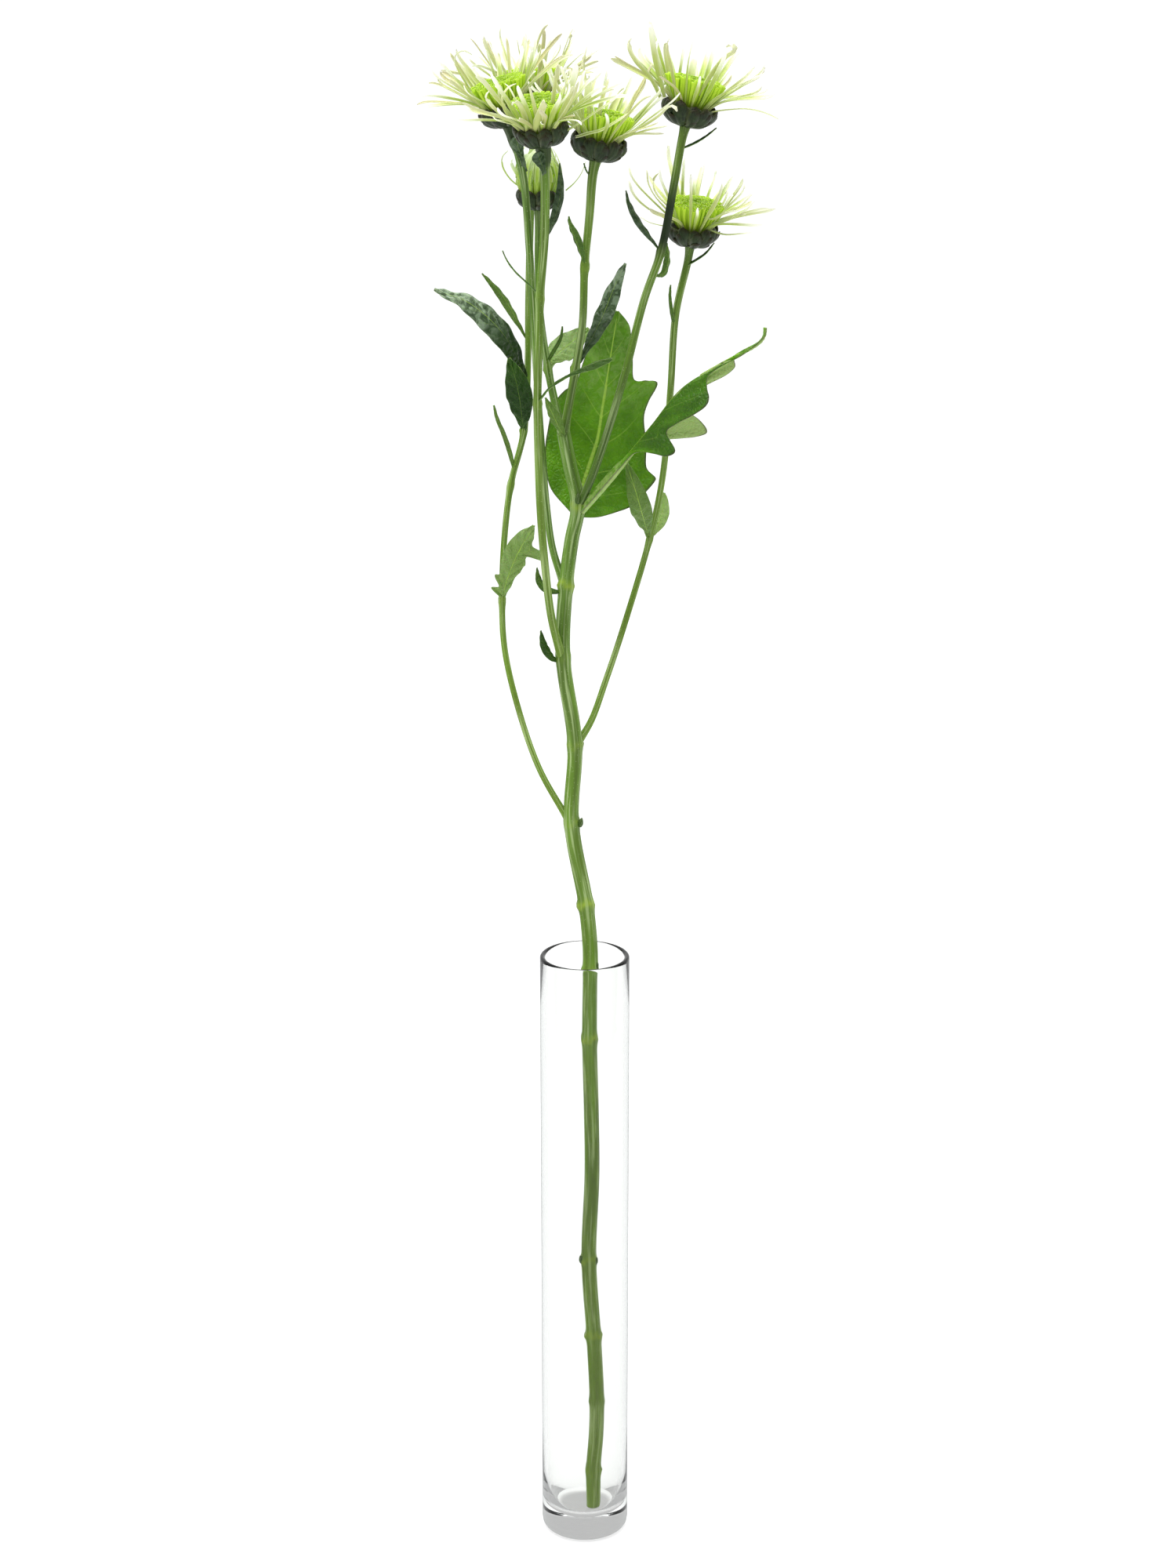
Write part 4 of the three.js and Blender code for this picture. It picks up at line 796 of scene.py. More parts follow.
def blend_colour(tree, share, first, second):
    """The first colour where the share is 0, and the second where it is 1."""
    inputs = {0: share, 6: first, 7: second}
    return node(tree, "ShaderNodeMix", inputs, data_type="RGBA", clamp_factor=True).outputs[2]


def glaze(tree, below, colour, mask, strength):
    """A colour laid over the one below it where its mask is high."""
    return blend_colour(tree, times(tree, mask, strength), below, colour)


def new_group(name, inputs, outputs):
    """A group of nodes: its tree, the named sockets that it is given and those that it gives."""
    tree = bpy.data.node_groups.new(name, "ShaderNodeTree")
    for way, sockets in (("INPUT", inputs), ("OUTPUT", outputs)):
        for socket, kind in sockets.items():
            tree.interface.new_socket(socket, in_out=way, socket_type="NodeSocket" + kind)
    return tree, tree.nodes.new("NodeGroupInput").outputs, tree.nodes.new("NodeGroupOutput").inputs


def use_group(tree, group, **inputs):
    """The outputs of a group, placed in a tree with values of its own."""
    named = {key.replace("_", " "): value for key, value in inputs.items()}
    return node(tree, "ShaderNodeGroup", named, node_tree=group).outputs


def own_place(tree):
    """A point's place in its piece's own axes, in metres."""
    return node(tree, "ShaderNodeTexCoord").outputs["Object"]


def distance_of(tree, point):
    """How far a point is from the middle of the vase's foot, which is where the axes start."""
    return node(tree, "ShaderNodeVectorMath", {0: point}, operation="LENGTH").outputs["Value"]


def read_layer(tree, layer):
    """The two numbers of a UV layer: across and along in form, and the form's own two in draw."""
    both = node(tree, "ShaderNodeUVMap", uv_map=layer).outputs[0]
    return node(tree, "ShaderNodeSeparateXYZ", {0: both}).outputs[:2]


def make_tint_drift():
    """Slow patches of one colour in another, for every part of the plant."""
    group, given, result = new_group(
        "Tint drift",
        {"first colour": "Color", "second colour": "Color", "patch scale": "Float", "share": "Float"},
        {"colour": "Color"},
    )
    noise = node(group, "ShaderNodeTexNoise", {
        "Vector": own_place(group), "Scale": given["patch scale"], "Detail": 3.0, "Roughness": 0.6,
    }).outputs[0]
    patch = ramp(group, noise, 0.38, 0.62)
    colour = glaze(group, given["first colour"], given["second colour"], patch, given["share"])
    group.links.new(colour, result["colour"])
    return group


def make_lengthwise_lines():
    """Fine lines that run along a form: a mask that fades in and out on the way."""
    group, given, result = new_group(
        "Lengthwise lines", {"lines across": "Float", "wander": "Float"}, {"mask": "Float"}
    )
    across, along = read_layer(group, "form")
    stretched = node(group, "ShaderNodeCombineXYZ", {
        0: times(group, across, given["lines across"]),
        1: times(group, along, given["wander"]),
    }).outputs[0]
    noise = node(group, "ShaderNodeTexNoise", {
        "Vector": stretched, "Scale": 1.0, "Detail": 2.0, "Roughness": 0.5,
    }).outputs[0]
    group.links.new(ramp(group, noise, 0.36, 0.64), result["mask"])
    return group


def make_vein_net():
    """Midrib, side veins and net of a blade: a mask of the veins and a height for relief."""
    group, given, result = new_group(
        "Vein net", {"side veins": "Float", "net scale": "Float"}, {"veins": "Float", "height": "Float"}
    )
    across, along = read_layer(group, "form")
    off_rib = off_middle(group, across)
    rib = ramp(group, off_rib, 0.02, 0.009)
    slanted = maths(group, "SUBTRACT", along, times(group, off_rib, 0.34))
    wave = maths(group, "FRACT", times(group, slanted, given["side veins"]))
    side = times(group, ramp(group, off_middle(group, wave), 0.035, 0.01), ramp(group, off_rib, 0.5, 0.1))
    veins = maths(group, "ADD", rib, times(group, side, 0.4), clamp=True)
    cells = node(group, "ShaderNodeTexVoronoi", {"Vector": own_place(group), "Scale": given["net scale"]},
                 feature="DISTANCE_TO_EDGE").outputs["Distance"]
    net = node(group, "ShaderNodeMapRange", {"Value": cells, "From Min": 0.0, "From Max": 0.3},
               interpolation_type="SMOOTHSTEP").outputs[0]
    group.links.new(veins, result["veins"])
    group.links.new(maths(group, "SUBTRACT", net, times(group, veins, 1.2)), result["height"])
    return group


TINT_DRIFT = make_tint_drift()
LENGTHWISE_LINES = make_lengthwise_lines()
VEIN_NET = make_vein_net()


def drift(tree, first, second, patch_scale, share=1.0):
    """A colour that drifts between two, in patches."""
    return use_group(tree, TINT_DRIFT, first_colour=first, second_colour=second, patch_scale=patch_scale,
                     share=share)["colour"]


def lines_along(tree, lines_across, wander):
    """A mask of so many lines across a form, which wander more or less on their way."""
    return use_group(tree, LENGTHWISE_LINES, lines_across=lines_across, wander=wander)["mask"]


def make_stalk_material():
    """Green skin with dark bands and pale crests, lime at the joints and painted shade where its form says
    so.
    """
    material, tree, shader = new_material("stalk green")
    lime, shade = read_layer(tree, "draw")
    bands = lines_along(tree, lines_across=7.0, wander=0.8)
    crests = lines_along(tree, lines_across=15.0, wander=2.0)
    colour = drift(tree, TINTS["stalk"], TINTS["deep stalk"], patch_scale=30.0, share=0.8)
    colour = glaze(tree, colour, TINTS["stalk band"], bands, 0.7)
    colour = glaze(tree, colour, TINTS["stalk crest"], maths(tree, "POWER", crests, 3.5), 0.85)
    cells = node(tree, "ShaderNodeTexVoronoi", {"Vector": own_place(tree), "Scale": 900.0})
    specks = ramp(tree, cells.outputs["Distance"], 0.2, 0.1)
    colour = glaze(tree, colour, TINTS["stalk speck"], specks, 0.45)
    colour = glaze(tree, colour, TINTS["joint"], lime, 0.75)
    # The second number of the draw layer darkens the skin: painted shade along the stalks and under the
    # heads, and the dark necks and buds.
    colour = blend_colour(tree, shade, colour, TINTS["stalk shade"])
    set_shader(tree, shader, {
        "Base Color": colour, "Roughness": 0.5, "Specular IOR Level": 0.28,
        "Subsurface Weight": 0.1, "Subsurface Radius": (0.001, 0.0016, 0.0005),
    })
    add_relief(tree, shader, maths(tree, "ADD", crests, times(tree, bands, 1.6)),
               strength=0.6, depth=0.0003)
    return material


def make_leaf_material(name, gloss, colours, edge_colour):
    """Gloss is 1 for the dark, shiny blades and 0 for the soft ones that light shines through."""
    material, tree, shader = new_material(name)
    under, tone = read_layer(tree, "draw")
    across, _ = read_layer(tree, "form")
    net = use_group(tree, VEIN_NET, side_veins=SIDE_VEINS, net_scale=560.0 - 260.0 * gloss)
    dark, vivid, pale = (drift(tree, first, second, patch_scale=70.0) for first, second in colours)
    low = ramp(tree, tone, 0.0, 0.5)
    high = ramp(tree, tone, 0.5, 1.0)
    # Glare: patches of painted highlight. In them glossy blades show their painted reflection, and backlit
    # blades their painted sheen at pale tones.
    streaks = node(tree, "ShaderNodeTexNoise", {
        "Vector": own_place(tree), "Scale": 260.0, "Detail": 4.0, "Distortion": 1.2,
    }).outputs[0]
    glare = ramp(tree, streaks, 0.43, 0.56, low=0.2)
    low_share = times(tree, low, glare) if gloss else low
    high_share = high if colours is LEAF_COLOURS else times(tree, high, glare)
    blade = blend_colour(tree, high_share, blend_colour(tree, low_share, dark, vivid), pale)
    blade = glaze(tree, blade, TINTS["leaf underside"], under, 0.75)
    blade = glaze(tree, blade, edge_colour, ramp(tree, off_middle(tree, across), 0.475, 0.49), 0.6)
    vein_strength = maths(tree, "ADD", 0.12, times(tree, low, 0.6))
    blade = glaze(tree, blade, TINTS["leaf vein"], net["veins"], vein_strength)
    set_shader(tree, shader, {
        "Base Color": blade, "Emission Color": blade, "Emission Strength": LEAF_GLOW * (1 - gloss),
        "Roughness": 0.44 - 0.18 * gloss, "Specular IOR Level": 0.22 + 0.08 * gloss,
        "Subsurface Weight": 0.45 - 0.35 * gloss, "Subsurface Radius": (0.0006, 0.0018, 0.0002),
    })
    add_relief(tree, shader, net["height"], strength=0.5, depth=0.0006)
    return material


def make_bract_material():
    """Dark green with fine lines, a pale rim on each side and a brownish tip."""
    material, tree, shader = new_material("cup bract")
    across, along = read_layer(tree, "form")
    lines = lines_along(tree, lines_across=22.0, wander=3.0)
    colour = drift(tree, TINTS["dark bract"], TINTS["bract"], patch_scale=300.0)
    colour = glaze(tree, colour, TINTS["bract line"], lines, 0.4)
    rim = ramp(tree, off_middle(tree, across, 0.25), 0.16, 0.25)
    colour = glaze(tree, colour, TINTS["bract rim"], rim, 0.5)
    colour = glaze(tree, colour, TINTS["bract tip"], ramp(tree, along, 0.75, 0.95), 0.5)
    set_shader(tree, shader, {"Base Color": colour, "Roughness": 0.4, "Specular IOR Level": 0.22})
    add_relief(tree, shader, lines, strength=0.3, depth=0.0002)
    return material


def make_disc_material():
    """Painted shade at the root, lime above, painted shade again in each floret's mouth, each floret its own
    tint.
    """
    material, tree, shader = new_material("disc floret lime")
    own, mouth = read_layer(tree, "draw")
    _, along = read_layer(tree, "form")
    colour = blend_colour(tree, ramp(tree, along, 0.0, 0.6), TINTS["disc root shade"], TINTS["disc middle"])
    colour = blend_colour(tree, ramp(tree, along, 0.55, 0.95), colour, TINTS["disc lime"])
    colour = blend_colour(tree, own, colour, TINTS["deep disc"])
    colour = blend_colour(tree, mouth, colour, TINTS["disc mouth shade"])
    set_shader(tree, shader, {
        "Base Color": colour, "Emission Color": colour, "Emission Strength": DISC_GLOW,
        "Roughness": 0.5, "Specular IOR Level": 0.25,
        "Subsurface Weight": 0.15, "Subsurface Radius": (0.0006, 0.001, 0.0002),
    })
    return material


def make_ray_material():
    """Painted shade at the root, then lime and cream, where the tips fade to white, with warm or worn
    streaks.
    """
    material, tree, shader = new_material("ray floret cream")
    own, closed = read_layer(tree, "draw")
    across, along = read_layer(tree, "form")
    lines = lines_along(tree, lines_across=14.0, wander=1.2)
    # The floret starts in painted shade at its root, where it lies between others inside the cup, and lifts
    # out of it.
    colour = TINTS["ray root shade"]
    for start, end, next_tint in RAY_TINTS:
        colour = blend_colour(tree, ramp(tree, along, start, end), colour, next_tint)
    colour = glaze(tree, colour, TINTS["ray streak"], lines, 0.3)
    colour = glaze(tree, colour, TINTS["warm ray"], own, 0.45)
    # Tips that fade to white on some florets: partly their own pale colour and partly painted light, which
    # the glow below also turns white.
    faint = times(tree, ramp(tree, along, 0.6, 1.0), ramp(tree, own, 0.75, 0.4))
    colour = glaze(tree, colour, TINTS["faint ray tip"], faint, 0.85)
    worn = times(tree, lines, ramp(tree, own, 0.82, 0.95))
    colour = glaze(tree, colour, TINTS["worn ray"], worn, 0.55)
    colour = glaze(tree, colour, TINTS["closed ray"], closed, 0.65)
    colour = glaze(tree, colour, TINTS["ray edge"], ramp(tree, off_middle(tree, across), 0.3, 0.5), 0.4)
    glow = blend_colour(tree, 0.62, colour, TINTS["black"])
    glow = blend_colour(tree, faint, glow, TINTS["ray tip glow"])
    set_shader(tree, shader, {
        "Base Color": colour, "Emission Color": glow, "Emission Strength": RAY_GLOW,
        "Roughness": 0.5, "Specular IOR Level": 0.3,
        "Subsurface Weight": 0.3, "Subsurface Radius": (0.001, 0.001, 0.0006),
    })
    add_relief(tree, shader, lines, strength=0.35, depth=0.0002)
    return material


def make_glass_material():
    """Clear glass with a thin tinted coat on its outer face, darker where it is seen along the wall."""
    material, tree, shader = new_material("clear vase glass")
    flat = node(tree, "ShaderNodeVectorMath", {0: own_place(tree), 1: (1, 1, 0)}, operation="MULTIPLY")
    coated = maths(tree, "GREATER_THAN", distance_of(tree, flat.outputs[0]), COAT_FROM * MM)
    set_shader(tree, shader, {
        "Base Color": TINTS["glass"], "Roughness": 0.0, "IOR": 1.47,
        "Specular Tint": TINTS["glass gloss"], "Transmission Weight": 1.0,
        "Coat Weight": coated, "Coat Roughness": 0.0, "Coat IOR": 1.0, "Coat Tint": TINTS["glass coat"],
    })
    return material


def make_floor_material():
    """White, with the shade under the vase's foot."""
    material, tree, shader = new_material("white floor")
    from_foot = distance_of(tree, own_place(tree))
    shade = ramp(tree, from_foot, FOOT_SHADE[0] * MM, FOOT_SHADE[1] * MM, high=0.6)
    set_shader(tree, shader, {
        "Base Color": TINTS["floor"],
        "Emission Color": blend_colour(tree, shade, TINTS["white"], TINTS["floor"]),
        "Emission Strength": FLOOR_BRIGHTNESS, "Roughness": 0.9, "Specular IOR Level": 0.1,
    })
    return material


# The vase


def circle(sides):
    """The directions of a ring's points, in radians."""
    return np.linspace(0, 2 * math.pi, sides, endpoint=False)


def build_vase(material):
    """A tube with a thick foot, a rounded rim and a floor that runs up into the wall in a small bowl."""
    _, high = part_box("glass_vase")
    height = high[2] / MM
    radius = high[0] / MM
    bore = radius - VASE_WALL
    floor = VASE_FLOOR
    sides = 96
    edge = 1.2
    outside = [(radius - 3.2, 0), (radius - 1.9, 0.15), (radius - 0.9, 0.75), (radius - 0.25, 1.8),
               (radius, 3.4)]
    wall_out = [(radius, z) for z in np.linspace(12, height - edge, 12)]
    half_wall = VASE_WALL / 2
    rim = [
        (bore + half_wall + half_wall * math.cos(a), height - half_wall + half_wall * math.sin(a))
        for a in np.radians(np.linspace(15, 165, 9))
    ]
    wall_in = [(bore, z) for z in np.linspace(height - edge, floor + 17, 12)]
    bowl = [(bore - 0.3, floor + 10), (bore - 1.1, floor + 5.8), (bore - 2.2, floor + 3.5),
            (bore - 3.9, floor + 1.8), (bore - 6, floor + 0.8), (6, floor + 0.2), (0.4, floor)]
    profile = [(0.4, 0)] + outside + wall_out + rim + wall_in + bowl
    turn = circle(sides)
    rings = [np.stack([r * np.cos(turn), r * np.sin(turn), np.full(sides, z)], 1) for r, z in profile]
    mould = Mould()
    mould.skin(rings)
    place(mould.cast("vase", material), "vase_glass", "glass_vase")


# Stalks


def head_axes(head):
    """A head's place and its own axes: z along its stalk's end, x to the right and y away from the viewer."""
    right, front = np.radians(head["lean"])
    z = np.array([math.sin(right) * math.cos(front), -math.sin(front), math.cos(right) * math.cos(front)])
    x = unit(np.cross([0, 1, 0], z))
    return np.array(head["at"], float), x, np.cross(z, x), z


def on_head(head, local):
    """Points given in a head's own axes, scaled by the head's size."""
    origin, x, y, z = head_axes(head)
    local = np.asarray(local, float) * head["size"]
    return origin + local[..., :1] * x + local[..., 1:2] * y + local[..., 2:] * z


def off_head(head, points):
    """Points of the scene in a head's own axes: the other way round from on_head."""
    origin, x, y, z = head_axes(head)
    return (np.asarray(points, float) - origin) @ np.stack([x, y, z], axis=1) / head["size"]


def spin(points, angle):
    """Points turned round the Z axis."""
    cos, sin = math.cos(angle), math.sin(angle)
    x, y, z = points[..., 0], points[..., 1], points[..., 2]
    return np.stack([x * cos - y * sin, x * sin + y * cos, z], axis=-1)


def head_of(name):
    """The head on a shoot, or None for the main stem."""
    return HEADS.get(name.replace("shoot_", ""))


def stalk_route(name, stop=0.4):
    """A stalk's middle line. It ends straight in its head, stop millimetres short of the head's place."""
    points = list(STALKS[name]["route"])
    head = head_of(name)
    if head:
        origin, _, _, z = head_axes(head)
        points += [origin - 6 * z, origin - stop * z]
    return Route(points)


def girth_at(girth, share):
    """A stalk's radius: a curve through its radii at the foot, the middle and the top."""
    foot, middle, top = girth
    bend = 2 * middle - (foot + top) / 2
    return foot * (1 - share)**2 + 2 * bend * share * (1 - share) + top * share**2


def flare(distance, height, reach):
    """Falls away from its full height at no distance."""
    return height * np.exp(-distance / reach)


def add_joint(route, k, strength, distance, turn, side):
    """A joint at the k-th point of a route: what it adds to the radius, and how lime its collar is."""
    from_joint = distance - route.share_of_point(k) * route.length
    swell = np.exp(-((from_joint + 0.6) / 2.2)**2) * (0.15 + 0.35 * strength)
    ragged = 0.8 * np.cos(2 * turn + side) + 0.5 * np.cos(5 * turn - 2 * side)
    edge = from_joint[:, None] - ragged
    scar = np.exp(-(from_joint / 1.1)**2)[:, None] * np.clip(np.cos(turn - side), 0, 1)**3 * 0.55
    lip = 0.22 * strength * smoothstep(-1.6, 0.4, edge) * (1 - smoothstep(0.4, 0.9, edge))
    return swell[:, None] + scar + lip, strength * np.exp(-((edge - 0.1) / 1.3)**2)


def painted_shade_along(name, share, height, streaks):
    """How much painted shade a stalk has along its way, apart from its neck."""
    shade = np.zeros((len(share), streaks.shape[-1]))
    for strength, (dark_from, dark_to), (light_from, light_to), streaked in SHADED_STRETCHES.get(name, ()):
        way = height if name == "main_stem" else share
        stretch = smoothstep(dark_from, dark_to, way) * (1 - smoothstep(light_from, light_to, way))
        shade += strength * stretch[:, None] * (streaks if streaked else 1)
    return shade


def build_stalk(name, stalk_material, leaf_material):
    """A ribbed stalk with swollen joints and leaf scars, wider where it leaves the stem and at its head."""
    route = stalk_route(name, stop=-0.4)
    stalk = STALKS[name]
    main = name == "main_stem"
    sides = 48 if main else 32
    steps = int(route.length / STALK_STEP)
    share = np.linspace(0, 1, steps)
    distance = share * route.length
    from_top = route.length - distance
    centre, along = route.at(share), route.along(share)
    turn = circle(sides)
    draws = Draws(len(name) * 31 + ord(name[-1]))
    ribs, rib_depth = STEM_RIBS if main else SHOOT_RIBS
    phase = draws.draw(0, 6)
    ripple = np.cos(ribs * turn + phase) + 0.5 * np.cos((2 * ribs + 1) * turn + 2.1 * phase)
    radius = girth_at(stalk["girth"], share)[:, None] * np.ones(sides)
    radius = radius * (1 + rib_depth * ripple * smoothstep(0, 12, distance)[:, None])
    lime_foot, lime_top = stalk.get("fresh", (0, 0))
    lime = np.repeat((lime_foot + (lime_top - lime_foot) * share)[:, None], sides + 1, axis=1)
    for k, strength in stalk["joints"].items():
        swell, collar = add_joint(route, k, strength, distance, turn, side=draws.draw(0, 2 * math.pi))
        radius = radius + swell
        lime = np.maximum(lime, np.hstack([collar, collar[:, :1]]))
    if not main:
        radius = radius + flare(distance, *FOOT_FLARE)[:, None]
    neck_length, neck_swell = stalk.get("neck", (1, 0))
    neck = 1 - smoothstep(0.6 * neck_length, neck_length, from_top)
    if head_of(name):
        radius = radius + (flare(from_top, *HEAD_FLARE) + neck_swell * neck)[:, None]
    across = np.array([1.0, 0.0, 0.0])
    rings = []
    for k in range(steps):
        across = unit(across - np.dot(across, along[k]) * along[k])
        other = np.cross(along[k], across)
        ring = np.outer(np.cos(turn), across) + np.outer(np.sin(turn), other)
        rings.append(centre[k] + radius[k][:, None] * ring)
    streaks = 0.5 + 0.5 * np.cos(3 * np.append(turn, 0) + phase)
    shade = painted_shade_along(name, share, centre[:, 2], streaks)
    # Painted shade that deepens towards the head, under its cup.
    if head_of(name):
        shade += flare(from_top, 0.5, 9)[:, None]
    if neck_swell:
        dark_neck = 0.85 * (1 - smoothstep(0.8 * neck_length, neck_length, from_top))
        shade = np.maximum(shade, dark_neck[:, None])
    mould = Mould()
    mould.skin(rings, along=distance * 0.02, draw=np.stack([lime, shade], axis=-1))
    place(mould.cast(name + "_ribbed", stalk_material), "stalk", name)
    initial = name.split("_")[1]
    for key, leaf in LEAVES.items():
        if key.split("_")[:2] == ["sliver", initial]:
            build_leaf(key, leaf, leaf_material)


def build_buds(material):
    """Dormant buds: pointed little cones with a full waist."""
    mould = Mould()
    turn = circle(12)
    profile = ((-1, 0.9), (0, 1.15), (0.9, 1.1), (1.8, 0.85), (2.6, 0.5), (3.1, 0.2), (3.25, 0.03))
    for at, way in BUDS:
        z = unit(way)
        x = unit(np.cross([0, 1, 0], z))
        y = 0.75 * np.cross(z, x)
        ring = np.outer(np.cos(turn), x) + np.outer(np.sin(turn), y)
        mould.skin([np.array(at) + z * height + radius * ring for height, radius in profile], draw=(0, 0.5))
    place(mould.cast("stem_buds", material), "stalk")


# Leaves


def full_rows(rows):
    """Rows of five numbers for an outline, also where it gives the two of an even one."""
    return [(row[0], row[0], row[1], row[0], row[1]) if len(row) == 2 else row for row in rows]


def smooth_rows(rows, steps):
    """More rows between the given ones, on a soft curve through them."""
    rows = np.array(rows, float)
    padded = np.vstack([rows[0], rows, rows[-1]])
    t = np.linspace(0, 1, steps, endpoint=False)[:, None]
    made = []
    for k in range(len(rows) - 1):
        p0, p1, p2, p3 = padded[k:k + 4]
        made.append(0.5 * (2 * p1 + (p2 - p0) * t + (2 * p0 - 5 * p1 + 4 * p2 - p3) * t**2
                           + (3 * p1 - p0 - 3 * p2 + p3) * t**3))
    made.append(rows[-1:])
    made = np.vstack(made)
    made[:, 0] = np.maximum.accumulate(np.clip(made[:, 0], 0, 1))
    made[:, (2, 4)] = np.maximum(made[:, (2, 4)], NARROWEST)
    return made


def square_to(grid, like):
    """Unit normals of a grid of points, on the side that the given directions point to."""
    normal = unit(np.cross(np.gradient(grid, axis=1), np.gradient(grid, axis=0)) + 1e-9)
    facing = np.sign(np.sum(normal * like, axis=-1, keepdims=True).mean(axis=(0, 1)))
    return normal * facing


def fold_blade(leaf, rows, part, folded):
    """The middle face of a folded blade before its relief: its points, the way up at each row, and how far
    each point is from the rib."""
    route = Route(leaf["rib"])
    rib = rows[:, 0]
    at, along = route.at(rib), route.along(rib)
    face = unit(leaf["face"])
    up = unit(face - (along @ face)[:, None] * along)
    side = np.cross(along, up)
    left = part < 0
    edge_along = np.where(left[None, :], rows[:, 1:2], rows[:, 3:4])
    out = np.where(left[None, :], -rows[:, 2:3], rows[:, 4:5]) * np.abs(part) * leaf["half"]
    reach = np.abs(out)
    fold = np.radians(np.where(left, leaf["fold"][0], leaf["fold"][1])[None, :] * folded)
    shift = (edge_along - rib[:, None]) * route.length * np.abs(part)[None, :]
    middle = (at[:, None] + shift[..., None] * along[:, None]
              + (out * np.cos(fold))[..., None] * side[:, None]
              - (reach * np.sin(fold))[..., None] * up[:, None])
    return middle, up[:, None], reach


def ridge(reach, height, half_width):
    """A rounded ridge along the midrib."""
    return height * np.exp(-(reach / half_width)**2)


def build_leaf(name, leaf, material):
    """A thin blade on its rib: midrib sunken above and raised below, waved edges, cheeks between veins."""
    rows = smooth_rows(full_rows(OUTLINES[leaf["outline"]]), 6)
    lobed = leaf["outline"] == "lobed"
    half = leaf["half"]
    columns = 13 if half > 4 else 9
    part = np.concatenate([-np.linspace(1, 0, columns)[:-1], np.linspace(0, 1, columns)])
    draws = Draws(sum(map(ord, name)))
    beat, phase = draws.draw(4, 6), draws.draw(0, 6)
    rib = rows[:, 0]
    blade = smoothstep(*PETIOLE_TO_BLADE, rib) if lobed else np.ones(len(rib))
    tail = smoothstep(*BLADE_TO_TAIL, rib) if lobed else np.zeros(len(rib))
    middle, up, reach = fold_blade(leaf, rows, part, (blade * (1 - tail))[:, None])

    normal = square_to(middle, up)
    fullness = min(1, half / 6) * blade[:, None]
    slant = rib[:, None] * SIDE_VEINS - np.abs(part)[None, :] * VEIN_SLANT
    cheek = -np.cos(2 * math.pi * slant) * np.sin(math.pi * np.abs(part))
    wave = np.sin(beat * rib * 2 * math.pi + phase)[:, None] * part**3
    relief = CHEEK_HEIGHT * cheek + EDGE_WAVE * wave - ridge(reach, *MIDRIB_GROOVE)
    middle = middle + (fullness * relief)[..., None] * normal

    normal = square_to(middle, up)
    thick = BLADE_THICKNESS + fullness * ridge(reach, *MIDRIB_THICKNESS)
    keel = fullness * ridge(reach, *MIDRIB_KEEL) * (1 - 0.7 * rib)[:, None]
    keel = keel + PETIOLE_DEPTH * (1 - blade)[:, None] * np.clip(1 - part**2, 0, 1)**0.5
    upper = middle + (thick / 2)[..., None] * normal
    lower = middle - (thick / 2 + keel)[..., None] * normal
    rings = np.concatenate([upper, lower[:, ::-1]], axis=1)

    across = (part + 1) / 2
    under = np.concatenate([np.zeros(len(part)), np.ones(len(part)), [0]])
    # Towards the tip the tone changes to the tip's own, which paints a highlight there.
    tone = leaf["tone"] + (leaf.get("tip_highlight_tone", leaf["tone"]) - leaf["tone"]) * smoothstep(0.35, 0.75, rib)
    tone = np.clip(tone + 0.85 * (1 - blade) + 0.6 * tail, 0, 1)
    draw = np.stack(np.broadcast_arrays(under[None, :], tone[:, None]), axis=-1)
    mould = Mould()
    mould.skin(rings, across=there_and_back(across), along=rib, draw=draw)
    nodes = () if name.startswith("sliver") else (name,)
    place(mould.cast(name + "_blade", material), "leaf_blade", *nodes)


# Flower heads


def build_cup(key, head, material):
    """Overlapping rows of small pointed bracts on a bowl: the outer, lower rows lie over the inner ones."""
    mould = Mould()
    sides = 48
    turn = circle(sides)
    bowl = [np.stack([r * np.cos(turn), r * np.sin(turn), np.full(sides, h)], 1) for r, h in CUP_BOWL]
    mould.skin([on_head(head, ring) for ring in bowl])
    profile = Route([(radius, 0, height) for radius, height in CUP_PROFILE])
    draws = Draws(head["seed"] + 5)
    t = np.linspace(0, 1, 11)
    cross = np.linspace(-1, 1, 9)
    bend = 0.22 - 0.42 * cross**2
    for level, (count, start, end, width, lift) in enumerate(BRACT_ROWS):
        unevenness = 1 if level else 3
        for k in range(count):
            angle = 2 * math.pi * (k + 0.5 * (level % 2) + draws.draw(-0.15, 0.15)) / count
            reach = min(1, end + draws.draw(-0.08, 0.06) * unevenness)
            splay = draws.draw(0.0, 0.5)
            broad = width * draws.draw(0.85, 1.1)
            share = start + (reach - start) * t
            spine, along = profile.at(share), profile.along(share)
            outward = np.cross([0, 1, 0], along)
            outward *= np.sign(outward[:, :1] + 1e-9)
            spine = spine + outward * (lift - 0.55 + splay * t**3)[:, None]
            half = 0.5 * broad * (0.6 + 0.55 * t) * np.sqrt(np.clip(1 - t**5, 0.004, 1))
            upper = spine[:, None] + outward[:, None] * (bend[None, :, None] * half[:, None, None])
            upper = upper + np.array([0, 1, 0]) * (cross[None, :, None] * half[:, None, None])
            lower = upper - outward[:, None] * BRACT_THICKNESS
            rings = np.concatenate([upper, lower[:, ::-1]], axis=1)
            mould.skin(on_head(head, spin(rings, angle)), draw=(draws.draw(0, 1), 0))
    place(mould.cast(f"cup_{key}", material), "bract_cup", f"head_{key}_cup")


